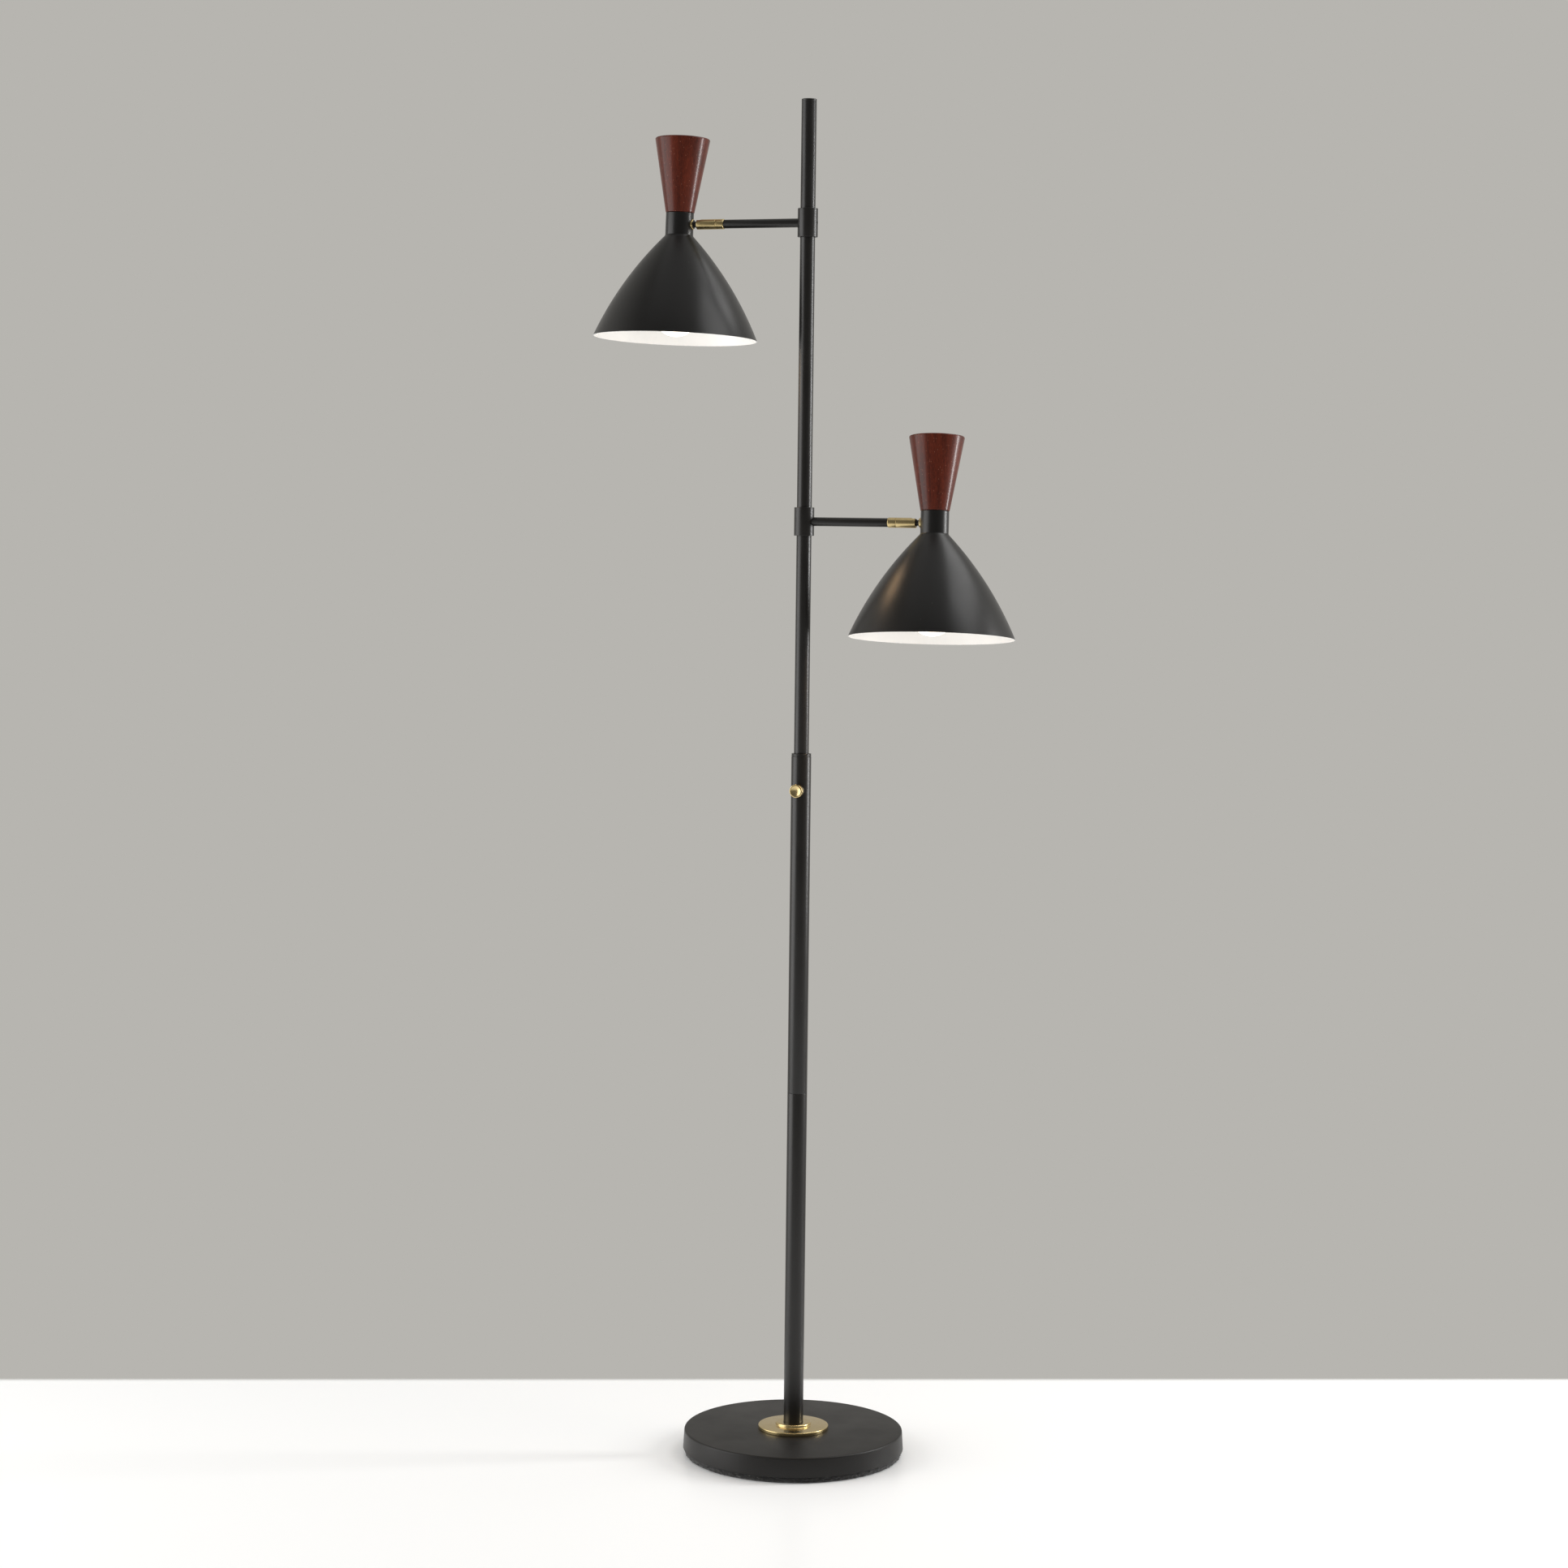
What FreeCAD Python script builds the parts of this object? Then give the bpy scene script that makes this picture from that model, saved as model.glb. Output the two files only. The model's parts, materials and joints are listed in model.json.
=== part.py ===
import FreeCAD, Part

# A free-standing floor lamp with two swivelling heads on one pole. Millimetres, +Z up.
# The origin is the centre of the base's underside. The upper arm points along -X, the
# lower arm along +X, and the rotary switch faces -Y, the front.
import math
import os

from FreeCAD import Placement, Rotation, Vector

# ---- driving dimensions --------------------------------------------------------------
OVERALL_HEIGHT = 1740.0
UPPER_ARM_HEIGHT = 1585.5
LOWER_ARM_HEIGHT = 1209.0
HEAD_REACH = 172.5            # pole axis to the axis of a head

# base
PAD_HEIGHT = 8.0
PAD_RADIUS = 140.5
PAD_BEVEL = (1.5, 2.0)         # inset and height of the pad's cut lower edge
SHELL_TOP = 33.0
SHELL_TOP_RADIUS = 141.5
SHELL_FOOT_RADIUS = 143.0
SHELL_WALL = 2.0
SHELL_EDGE_ROUND = 2.5
WEIGHT_RADIUS = 135.5
WEIGHT_PLATE = 11.0           # thickness of the casting over its hollow underside
WEIGHT_RIM = 20.0             # width of the casting's rim, which stands on the pad
WEIGHT_DRAFT = 3.0            # how far the rim's inner wall leans
WEIGHT_ROUND = 2.0
WEIGHT_RIM_ROUND = 1.0
LEAD_NOTCH_WIDTH = 12.0
LEAD_NOTCH_HEIGHT = 12.0
FLANGE_RADIUS = 45.5
FLANGE_HEIGHT = 5.0
FLANGE_FOOT_ROUND = 0.6
FLANGE_EDGE_ROUND = 1.2
BOSS_RADIUS = 23.0
BOSS_HEIGHT = 4.0
BOSS_COVE = 1.0
BOSS_EDGE_ROUND = 2.0
POLE_SEAT_DEPTH = 4.5         # how deep the pole stands in the boss
BUSHING_HEIGHT = 15.0         # axis of the lead bushing above the floor
BUSHING_BORE_RADIUS = 3.3
BUSHING_NECK_RADIUS = 4.4
BUSHING_LIP_RADIUS = 5.6
BUSHING_BARB_RADIUS = 5.2     # the smaller lip that snaps in behind the sheet
BUSHING_BARB = 1.6
BUSHING_LIP = 2.2
BUSHING_ROUND = 0.6

# threaded hollow pipe and its nuts
PIPE_RADIUS = 5.0
PIPE_BORE_RADIUS = 3.3
PIPE_HOLE_RADIUS = 5.2
PIPE_NUT_FLATS = 17.0
PIPE_NUT_HEIGHT = 5.0
FOOT_WASHER_RADIUS = 17.0
FOOT_WASHER_HEIGHT = 2.0
PIPE_PROUD = 0.5              # thread that shows past a nut
PIPE_SHORT = 2.0              # thread left free in an insert
THREAD_BEVEL = 0.5
EDGE_BREAK = 0.25             # small rounds and bevels at machined edges

# pole
POLE_RADIUS = 12.7
POLE_WALL = 1.2
UPPER_POLE_RADIUS = 9.5
UPPER_POLE_WALL = 1.2
SEAM_HEIGHT = 474.0
REDUCER_TOP = 913.0
REDUCER_HEAD = 3.0            # height of the reducer over the seam with the pole
REDUCER_LIP = 1.0             # top lip, over the upper of the two fine grooves
REDUCER_GROOVE = 0.7
REDUCER_GROOVE_DEPTH = 0.8
REDUCER_SPIGOT = 25.0
REDUCER_BORE_RADIUS = 6.0
UPPER_POLE_ENTRY = 21.0       # how far the upper pole stands in the reducer
FOOT_INSERT_HEIGHT = 22.0
COUPLER_HALF = 30.0
COUPLER_BORE_RADIUS = 7.0
SEAM_BREAK = 0.4              # bevel at the ends of the tubes
SPIGOT_BEVEL = 1.0            # lead-in of the pieces that slide into the tubes
LIP_ROUND = 0.6
CAP_HEIGHT = 2.5
CAP_SPIGOT = 8.0

# rotary switch
SWITCH_HEIGHT = 866.0
SWITCH_BODY = (14.0, 15.0, 26.0)
SWITCH_BODY_ROUND = 2.0
SWITCH_BODY_FRONT = 6.5       # pole axis to the front of the body
SHANK_RADIUS = 3.5
SHANK_END = 16.2
SPINDLE_RADIUS = 2.0
SPINDLE_PLAY = 0.05
SPINDLE_END_PLAY = 0.5
SPINDLE_FLAT = 0.6            # depth of the flat that turns the knob
SWITCH_NUT_RADIUS = 5.4
SWITCH_NUT_END = 14.2
KNOB_RADIUS = 8.5
KNOB_BACK = 13.7              # pole axis to the back of the knob
KNOB_FACE = 22.0
KNOB_DISH_RADIUS = 6.6
KNOB_DISH_DEPTH = 1.6
KNOB_ROUND = 0.9
KNOB_HUB = 3.0                # metal between the spindle's end and the knob's face
KNOB_CLEARANCE = 0.5          # knob to the shank and nut inside it
KNOB_END_CLEARANCE = 0.3

# collars and arms
COLLAR_RADIUS = 12.8
COLLAR_HEIGHT = 36.0
COLLAR_BEVEL = 0.5
ARM_RADIUS = 5.6
ARM_BORE_RADIUS = 3.8
ARM_SPIGOT_RADIUS = 4.2
ARM_SPIGOT_BORE_RADIUS = 2.6
ARM_ROOT = 20.0               # solid root of the arm, from the pole's axis
SET_SCREW_RADIUS = 2.5
SET_SCREW_SOCKET = 2.5        # across the flats of its hexagon socket
SET_SCREW_SUNK = 0.3
SET_SCREW_SOCKET_DEPTH = 1.8

# swivel joint, measured along the arm from the centre of its ball
BALL_RADIUS = 5.6
BALL_PLAY = 0.05
BALL_TO_HEAD_AXIS = 27.0
HOUSING_RADIUS = 6.5
HOUSING_BORE_RADIUS = 5.65
HOUSING_NOSE = 3.0
HOUSING_LENGTH = 26.0
SLOT_WIDTH = 7.8
SWIVEL_ROUND = 0.8            # rounds of the brass edges that show
SWIVEL_GAP = 0.3
SWIVEL_BASE_LENGTH = 10.7
SPIGOT_RADIUS = 3.8
SPIGOT_BORE_RADIUS = 2.3
SPIGOT_PLAY = 0.05
SPIGOT_LENGTH = 6.0
ARM_PLUG_LENGTH = 8.0         # plug of the swivel base in the arm's end
END_PLUG_HEIGHT = 3.0
SPIGOT_NUT_RADIUS = 5.2
SPIGOT_NUT_HEIGHT = 2.4
SPIGOT_NUT_SLOT = (1.2, 0.8)   # width and depth of the slot for a spanner
SEAT_LENGTH = 6.4
SEAT_MOUTH = 4.2              # ball centre to the open end of the seat
SPRING_DISCS = 4
SPRING_WALL = 0.8             # across the disc springs, square to their axis
SPRING_CLEARANCE = 0.3
STEM_RADIUS = 3.6
STEM_BORE_RADIUS = 2.1
STEM_FLARE = (3.4, 2.4)        # radius and depth of the flare for the lead
STEM_COLLAR_RADIUS = 5.4
STEM_COLLAR_HEIGHT = 0.85
STEM_THREAD_RADIUS = 4.0
STEM_END = 16.0
RING_RADIUS = 6.6
RING_FRONT = 19.2             # head axis to the front of the ring
RING_BLANK = 4.0              # length of the ring before it is saddled
STEM_NUT_FLATS = 12.0
STEM_NUT_END = 14.4

# head, heights from the arm's axis
NECK_RADIUS = 17.9
NECK_HALF = 14.6
NECK_TOP_ROUND = 0.9
SHADE_WALL = 0.9
SHADE_HEIGHT = 131.0
RIM_RADIUS = 105.2
FLANK_BULGE = 7.2             # sagitta of the convex flank
NECK_COVE = 4.0               # radius where the neck runs into the flank
WOOD_HEIGHT = 94.4
WOOD_FOOT_RADIUS = 18.4
WOOD_TOP_RADIUS = 35.4
WOOD_TOP_ROUND = 1.8
WOOD_FOOT_ROUND = 1.2
INSERT_RADIUS = 8.0
INSERT_DEPTH = 24.0
DRILL_POINT = 3.0
NECK_NUT_FLATS = 14.0
NECK_NUT_HEIGHT = 4.0
SOCKET_TOP = -24.0
SOCKET_MOUTH = -63.0
SOCKET_RADIUS = 14.6
SOCKET_ROOF = 6.0             # how far the domed roof comes down
SOCKET_DOME = 4.0
SOCKET_FLOOR = 4.0            # thickness under the roof
SCREW_SHELL_RADIUS = 13.5
SCREW_SHELL_WALL = 0.35
SCREW_SHELL_SUNK = 1.5
CONTACT_HEIGHT = -37.5
CONTACT_RADIUS = 4.2
SHELL_SEAT_RADIUS = 8.5       # hole in the screw shell's seat
BULB_BASE_RADIUS = 12.9
BULB_BASE_END = -61.0
BULB_BASE_SHOULDER = 2.4
BULB_TIP_RADIUS = 8.0         # glass insulator round the contact
BULB_TIP_HEIGHT = 2.6
BULB_END = -143.0
BULB_RADIUS = 30.0
BULB_NECK_RADIUS = 12.9
BULB_SHOULDER = 60.0          # radius of the hollow curve under the globe
GLASS_WALL = 1.0

# pose in which each head is stored: (height, side, swivel, tilt) in degrees
HEADS = {
    "upper": (UPPER_ARM_HEIGHT, 180.0, 2.4, 0.9),
    "lower": (LOWER_ARM_HEIGHT, 0.0, -6.4, 1.1),
}

ORIGIN = Vector(0, 0, 0)
UP = Vector(0, 0, 1)
AWAY = 200.0                  # longer than any piece that a cut has to pass


# ---- building blocks -----------------------------------------------------------------
def arc(start, middle, end):
    return Part.Arc(start, middle, end).toShape()


def outline(corners):
    """Closed outline in the XZ plane; a third number rounds that corner."""
    points = [Vector(corner[0], 0, corner[1]) for corner in corners]
    starts, ends, bends = [], [], []
    for index, corner in enumerate(corners):
        point = points[index]
        if len(corner) == 2:
            starts.append(point)
            ends.append(point)
            bends.append(None)
            continue
        back = (points[index - 1] - point).normalize()
        ahead = (points[(index + 1) % len(points)] - point).normalize()
        half = back.getAngle(ahead) / 2
        reach = corner[2] / math.tan(half)
        starts.append(point + back * reach)
        ends.append(point + ahead * reach)
        inward = (back + ahead).normalize()
        bends.append(point + inward * (corner[2] / math.sin(half) - corner[2]))
    edges = []
    for index, bend in enumerate(bends):
        if bend is not None:
            edges.append(arc(starts[index], bend, ends[index]))
        follower = starts[(index + 1) % len(bends)]
        if ends[index].distanceToPoint(follower) > 1e-6:
            edges.append(Part.LineSegment(ends[index], follower).toShape())
    return Part.Wire(edges)


def turned_wire(wire):
    return Part.Face(wire).revolve(ORIGIN, UP, 360)


def turned(corners):
    """Solid turned about Z from (radius, height) corners."""
    return turned_wire(outline(corners))


def tube(radius, bore, bottom, top, bevel=0.0):
    """Round tube along Z, its outer edges bevelled."""
    corners = [(bore, bottom), (radius - bevel, bottom), (radius, bottom + bevel),
               (radius, top - bevel), (radius - bevel, top), (bore, top)]
    if bevel == 0:
        corners = [(bore, bottom), (radius, bottom), (radius, top), (bore, top)]
    return turned(corners)


def rod(radius, bottom, top):
    return Part.makeCylinder(radius, top - bottom, Vector(0, 0, bottom))


def hexagon(flats, bottom, top):
    corner = flats / math.sqrt(3)
    points = [Vector(corner * math.cos(math.radians(60 * step)),
                     corner * math.sin(math.radians(60 * step)), bottom)
              for step in range(7)]
    return Part.Face(Part.makePolygon(points)).extrude(Vector(0, 0, top - bottom))


def nut(flats, bore, bottom, top):
    """Hexagon nut along Z with turned corners at both faces."""
    corner = flats / math.sqrt(3)
    turn = corner - flats / 2
    blank = turned([(0, bottom), (flats / 2, bottom), (corner, bottom + turn / 2),
                    (corner, top - turn / 2), (flats / 2, top), (0, top)])
    return hexagon(flats, bottom, top).common(blank).cut(rod(bore, bottom - 1, top + 1))


def moved(shape, rotation=None, shift=ORIGIN):
    copy = shape.copy()
    copy.Placement = Placement(shift, rotation or Rotation()).multiply(copy.Placement)
    return copy


def along_x(shape, shift=ORIGIN):
    """Lay a piece made along Z so that it points along +X."""
    return moved(shape, Rotation(Vector(0, 1, 0), 90), shift)


def towards_front(shape, shift=ORIGIN):
    """Lay a piece made along Z so that it points along -Y."""
    return moved(shape, Rotation(Vector(1, 0, 0), 90), shift)


# ---- base ----------------------------------------------------------------------------
def base_pad():
    inset, height = PAD_BEVEL
    return turned([(0, 0), (PAD_RADIUS - inset, 0), (PAD_RADIUS, height),
                   (PAD_RADIUS, PAD_HEIGHT), (0, PAD_HEIGHT)])


def bushing_axis(shape):
    """Put a piece made along Z on the rear of the base, pointing along +Y."""
    return moved(shape, Rotation(Vector(1, 0, 0), -90), Vector(0, 0, BUSHING_HEIGHT))


def base_shell():
    inner_top = SHELL_TOP - SHELL_WALL
    shell = turned([
        (PIPE_HOLE_RADIUS, inner_top),
        (SHELL_TOP_RADIUS - SHELL_WALL, inner_top, SHELL_EDGE_ROUND / 2),
        (SHELL_FOOT_RADIUS - SHELL_WALL, PAD_HEIGHT),
        (SHELL_FOOT_RADIUS, PAD_HEIGHT),
        (SHELL_TOP_RADIUS, SHELL_TOP, SHELL_EDGE_ROUND),
        (PIPE_HOLE_RADIUS, SHELL_TOP),
    ])
    hole = bushing_axis(rod(BUSHING_NECK_RADIUS, WEIGHT_RADIUS, AWAY))
    return shell.cut(hole)


def weight_underside():
    return SHELL_TOP - SHELL_WALL - WEIGHT_PLATE


def base_weight():
    """Cast iron plate under the shell's top, with a rim down to the pad."""
    top = SHELL_TOP - SHELL_WALL
    rim = WEIGHT_RADIUS - WEIGHT_RIM
    casting = turned([
        (PIPE_HOLE_RADIUS, top), (PIPE_HOLE_RADIUS, weight_underside()),
        (rim - WEIGHT_DRAFT, weight_underside(), WEIGHT_ROUND),
        (rim, PAD_HEIGHT, WEIGHT_RIM_ROUND),
        (WEIGHT_RADIUS, PAD_HEIGHT, WEIGHT_RIM_ROUND), (WEIGHT_RADIUS, top, WEIGHT_ROUND),
    ])
    inside = rim - 2 * WEIGHT_DRAFT
    notch = Part.makeBox(LEAD_NOTCH_WIDTH, SHELL_FOOT_RADIUS - inside, LEAD_NOTCH_HEIGHT,
                         Vector(-LEAD_NOTCH_WIDTH / 2, inside, PAD_HEIGHT))
    return casting.cut(notch)


def base_flange():
    top = SHELL_TOP + FLANGE_HEIGHT
    boss_top = top + BOSS_HEIGHT
    seat = boss_top - POLE_SEAT_DEPTH
    return turned([
        (PIPE_HOLE_RADIUS, SHELL_TOP),
        (FLANGE_RADIUS, SHELL_TOP, FLANGE_FOOT_ROUND),
        (FLANGE_RADIUS, top, FLANGE_EDGE_ROUND),
        (BOSS_RADIUS, top, BOSS_COVE),
        (BOSS_RADIUS, boss_top, BOSS_EDGE_ROUND),
        (POLE_RADIUS, boss_top),
        (POLE_RADIUS, seat),
        (PIPE_HOLE_RADIUS, seat),
    ])


def cord_bushing():
    """Nylon bushing in the rear wall, with a rounded lip on both sides of the sheet."""
    lean = (SHELL_FOOT_RADIUS - SHELL_TOP_RADIUS) / (SHELL_TOP - PAD_HEIGHT)
    wall_out = SHELL_FOOT_RADIUS - lean * (BUSHING_HEIGHT - PAD_HEIGHT)
    wall_in = wall_out - SHELL_WALL
    end_in = wall_in - BUSHING_BARB
    end_out = wall_out + BUSHING_LIP
    bushing = turned([
        (BUSHING_BORE_RADIUS, end_in, BUSHING_ROUND),
        (BUSHING_BARB_RADIUS, end_in, BUSHING_ROUND),
        (BUSHING_BARB_RADIUS, wall_in),
        (BUSHING_NECK_RADIUS, wall_in),
        (BUSHING_NECK_RADIUS, wall_out),
        (BUSHING_LIP_RADIUS, wall_out),
        (BUSHING_LIP_RADIUS, end_out, 1.5 * BUSHING_ROUND),
        (BUSHING_BORE_RADIUS, end_out, BUSHING_ROUND),
    ])
    return bushing_axis(bushing).cut(base_shell())


# ---- pole ----------------------------------------------------------------------------
def pole_foot():
    """Where the pole stands: the bottom of the seat in the flange."""
    return SHELL_TOP + FLANGE_HEIGHT + BOSS_HEIGHT - POLE_SEAT_DEPTH


def nut_top():
    return weight_underside() - FOOT_WASHER_HEIGHT


def foot_nipple():
    return tube(PIPE_RADIUS, PIPE_BORE_RADIUS, nut_top() - PIPE_NUT_HEIGHT - PIPE_PROUD,
                pole_foot() + FOOT_INSERT_HEIGHT - PIPE_SHORT, THREAD_BEVEL)


def foot_washer():
    return tube(FOOT_WASHER_RADIUS, PIPE_HOLE_RADIUS, nut_top(),
                nut_top() + FOOT_WASHER_HEIGHT, EDGE_BREAK)


def foot_nut():
    return nut(PIPE_NUT_FLATS, PIPE_RADIUS, nut_top() - PIPE_NUT_HEIGHT, nut_top())


def pole_foot_insert():
    bore = POLE_RADIUS - POLE_WALL
    return tube(bore, PIPE_RADIUS, pole_foot(), pole_foot() + FOOT_INSERT_HEIGHT,
                THREAD_BEVEL)


def pole_lower():
    return tube(POLE_RADIUS, POLE_RADIUS - POLE_WALL, pole_foot(), SEAM_HEIGHT, SEAM_BREAK)


def pole_coupler():
    return tube(POLE_RADIUS - POLE_WALL, COUPLER_BORE_RADIUS, SEAM_HEIGHT - COUPLER_HALF,
                SEAM_HEIGHT + COUPLER_HALF, SPIGOT_BEVEL)


def pole_middle():
    top = REDUCER_TOP - REDUCER_HEAD - REDUCER_GROOVE
    pipe = tube(POLE_RADIUS, POLE_RADIUS - POLE_WALL, SEAM_HEIGHT, top, SEAM_BREAK)
    hole = towards_front(rod(SHANK_RADIUS, 0, AWAY), Vector(0, 0, SWITCH_HEIGHT))
    return pipe.cut(hole)


def pole_reducer():
    """Cap of the wide pole: a lip and a ring over fine grooves, bored for the upper pole."""
    root = POLE_RADIUS - REDUCER_GROOVE_DEPTH
    ring = REDUCER_TOP - REDUCER_HEAD
    seam = ring - REDUCER_GROOVE
    lip = REDUCER_TOP - REDUCER_LIP
    bottom = seam - REDUCER_SPIGOT
    return turned([
        (REDUCER_BORE_RADIUS, bottom),
        (POLE_RADIUS - POLE_WALL, bottom, SPIGOT_BEVEL),
        (POLE_RADIUS - POLE_WALL, seam),
        (root, seam), (root, ring),
        (POLE_RADIUS, ring, LIP_ROUND / 3),
        (POLE_RADIUS, lip - REDUCER_GROOVE, LIP_ROUND / 3),
        (root, lip - REDUCER_GROOVE), (root, lip),
        (POLE_RADIUS, lip, LIP_ROUND / 3),
        (POLE_RADIUS, REDUCER_TOP, LIP_ROUND),
        (UPPER_POLE_RADIUS, REDUCER_TOP),
        (UPPER_POLE_RADIUS, REDUCER_TOP - UPPER_POLE_ENTRY),
        (REDUCER_BORE_RADIUS, REDUCER_TOP - UPPER_POLE_ENTRY),
    ])


def pole_upper():
    pipe = tube(UPPER_POLE_RADIUS, UPPER_POLE_RADIUS - UPPER_POLE_WALL,
                REDUCER_TOP - UPPER_POLE_ENTRY, OVERALL_HEIGHT - CAP_HEIGHT)
    for height, side, _swivel, _tilt in HEADS.values():
        hole = along_x(rod(ARM_SPIGOT_BORE_RADIUS, 0, COLLAR_RADIUS))
        pipe = pipe.cut(on_arm(hole, height, side))
    return pipe


def pole_cap():
    top = OVERALL_HEIGHT
    rim = top - CAP_HEIGHT
    bore = UPPER_POLE_RADIUS - UPPER_POLE_WALL
    return turned([
        (0, top), (UPPER_POLE_RADIUS, top, LIP_ROUND), (UPPER_POLE_RADIUS, rim),
        (bore, rim), (bore, rim - CAP_SPIGOT, SPIGOT_BEVEL), (0, rim - CAP_SPIGOT),
    ])


# ---- rotary switch -------------------------------------------------------------------
def at_switch(shape):
    return towards_front(shape, Vector(0, 0, SWITCH_HEIGHT))


def switch_body():
    width, depth, height = SWITCH_BODY
    box = Part.makeBox(width, depth, height,
                       Vector(-width / 2, -SWITCH_BODY_FRONT, SWITCH_HEIGHT - height / 2))
    uprights = [edge for edge in box.Edges if edge.BoundBox.ZLength > height / 2]
    box = box.makeFillet(SWITCH_BODY_ROUND, uprights)
    shank = at_switch(tube(SHANK_RADIUS, SPINDLE_RADIUS + SPINDLE_PLAY,
                           SWITCH_BODY_FRONT, SHANK_END, THREAD_BEVEL))
    return box.fuse(shank).removeSplitter()


def switch_nut():
    """Round nut on the switch's shank, hollowed to sit on the round pole."""
    ring = tube(SWITCH_NUT_RADIUS, SHANK_RADIUS, 0, SWITCH_NUT_END, EDGE_BREAK)
    return at_switch(ring).cut(rod(POLE_RADIUS, 0, OVERALL_HEIGHT))


def switch_spindle():
    """D-shaped spindle: its flat, inside the knob, makes them turn together."""
    end = KNOB_FACE - KNOB_HUB
    spindle = rod(SPINDLE_RADIUS, SWITCH_BODY_FRONT + SPINDLE_END_PLAY, end)
    start = SHANK_END + KNOB_END_CLEARANCE
    flat = Part.makeBox(SPINDLE_RADIUS, 2 * SPINDLE_RADIUS, end - start,
                        Vector(SPINDLE_RADIUS - SPINDLE_FLAT, -SPINDLE_RADIUS, start))
    return at_switch(spindle.cut(flat))


def switch_knob():
    """Turned knob: rounded rim, dished face, and a recess that clears the nut."""
    floor = SHANK_END + KNOB_END_CLEARANCE
    step = SWITCH_NUT_END + 2 * KNOB_END_CLEARANCE
    shank_room = SHANK_RADIUS + KNOB_CLEARANCE
    nut_room = SWITCH_NUT_RADIUS + KNOB_CLEARANCE
    knob = turned([
        (0, floor),
        (shank_room, floor),
        (shank_room, step),
        (nut_room, step),
        (nut_room, KNOB_BACK),
        (KNOB_RADIUS, KNOB_BACK, KNOB_ROUND / 2),
        (KNOB_RADIUS, KNOB_FACE, KNOB_ROUND),
        (KNOB_DISH_RADIUS, KNOB_FACE, KNOB_ROUND / 2),
        (0, KNOB_FACE - KNOB_DISH_DEPTH),
    ])
    return at_switch(knob).cut(switch_spindle())


# ---- collars and arms ----------------------------------------------------------------
def on_arm(shape, height, side):
    """Place a piece made along +X from the pole's axis on its own arm."""
    return moved(shape, Rotation(UP, side), Vector(0, 0, height))


def collar(height, side):
    ring = tube(COLLAR_RADIUS, UPPER_POLE_RADIUS, -COLLAR_HEIGHT / 2, COLLAR_HEIGHT / 2,
                COLLAR_BEVEL)
    ring = ring.cut(along_x(rod(ARM_SPIGOT_RADIUS, 0, AWAY)))
    ring = ring.cut(along_x(rod(SET_SCREW_RADIUS, -AWAY, 0)))
    return on_arm(ring, height, side)


def set_screw(height, side):
    """Cup-point screw with a hexagon socket, opposite the arm, just below flush."""
    tip = -UPPER_POLE_RADIUS
    head = -COLLAR_RADIUS + SET_SCREW_SUNK
    screw = turned([(0, head), (SET_SCREW_RADIUS, head),
                    (SET_SCREW_RADIUS, tip, THREAD_BEVEL), (0, tip)])
    socket = hexagon(SET_SCREW_SOCKET, head - 1, head + SET_SCREW_SOCKET_DEPTH)
    return on_arm(along_x(screw.cut(socket)), height, side)


def arm_end():
    return HEAD_REACH - BALL_TO_HEAD_AXIS + HOUSING_NOSE - HOUSING_LENGTH - SWIVEL_BASE_LENGTH


def arm(height, side):
    """Tube whose root is coped to the collar, with a spigot through the collar's wall."""
    pipe = tube(ARM_RADIUS, ARM_BORE_RADIUS, 0, arm_end())
    root = tube(ARM_RADIUS, ARM_SPIGOT_BORE_RADIUS, 0, ARM_ROOT)
    body = along_x(pipe.fuse(root)).cut(rod(COLLAR_RADIUS, -AWAY, AWAY))
    spigot = along_x(tube(ARM_SPIGOT_RADIUS, ARM_SPIGOT_BORE_RADIUS, 0, ARM_ROOT))
    spigot = spigot.cut(rod(UPPER_POLE_RADIUS, -AWAY, AWAY))
    return on_arm(body.fuse(spigot).removeSplitter(), height, side)


# ---- swivel joint --------------------------------------------------------------------
def on_swivel(shape, height, side, swivel):
    """Place a piece made along Z from the ball's centre on its arm, turned by swivel."""
    turn = Rotation(UP, side).multiply(Rotation(Vector(1, 0, 0), swivel))
    reach = HEAD_REACH - BALL_TO_HEAD_AXIS
    ball = Rotation(UP, side).multVec(Vector(reach, 0, 0)) + Vector(0, 0, height)
    return moved(along_x(shape), turn, ball)


def housing_rear():
    return HOUSING_NOSE - HOUSING_LENGTH + SWIVEL_GAP


def swivel_base(height, side):
    """Short brass ring on the arm's end, with the spigot that the housing turns on."""
    front = HOUSING_NOSE - HOUSING_LENGTH
    back = front - SWIVEL_BASE_LENGTH
    piece = turned([
        (SPIGOT_BORE_RADIUS, back - ARM_PLUG_LENGTH),
        (ARM_BORE_RADIUS, back - ARM_PLUG_LENGTH, SWIVEL_ROUND),
        (ARM_BORE_RADIUS, back),
        (HOUSING_RADIUS, back, SWIVEL_ROUND),
        (HOUSING_RADIUS, front, EDGE_BREAK),
        (SPIGOT_RADIUS, front),
        (SPIGOT_RADIUS, front + SPIGOT_LENGTH, EDGE_BREAK),
        (SPIGOT_BORE_RADIUS, front + SPIGOT_LENGTH),
    ])
    return on_swivel(piece, height, side, 0)


def spigot_nut_back():
    return housing_rear() + END_PLUG_HEIGHT + SWIVEL_GAP


def spigot_nut(height, side):
    back = spigot_nut_back()
    ring = tube(SPIGOT_NUT_RADIUS, SPIGOT_RADIUS, back, back + SPIGOT_NUT_HEIGHT, EDGE_BREAK)
    width, depth = SPIGOT_NUT_SLOT
    notch = Part.makeBox(2 * AWAY, width, 2 * depth,
                         Vector(-AWAY, -width / 2, back + SPIGOT_NUT_HEIGHT - depth))
    return on_swivel(ring.cut(notch), height, side, 0)


def ball_cavity():
    return Part.makeSphere(BALL_RADIUS + BALL_PLAY)


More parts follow.
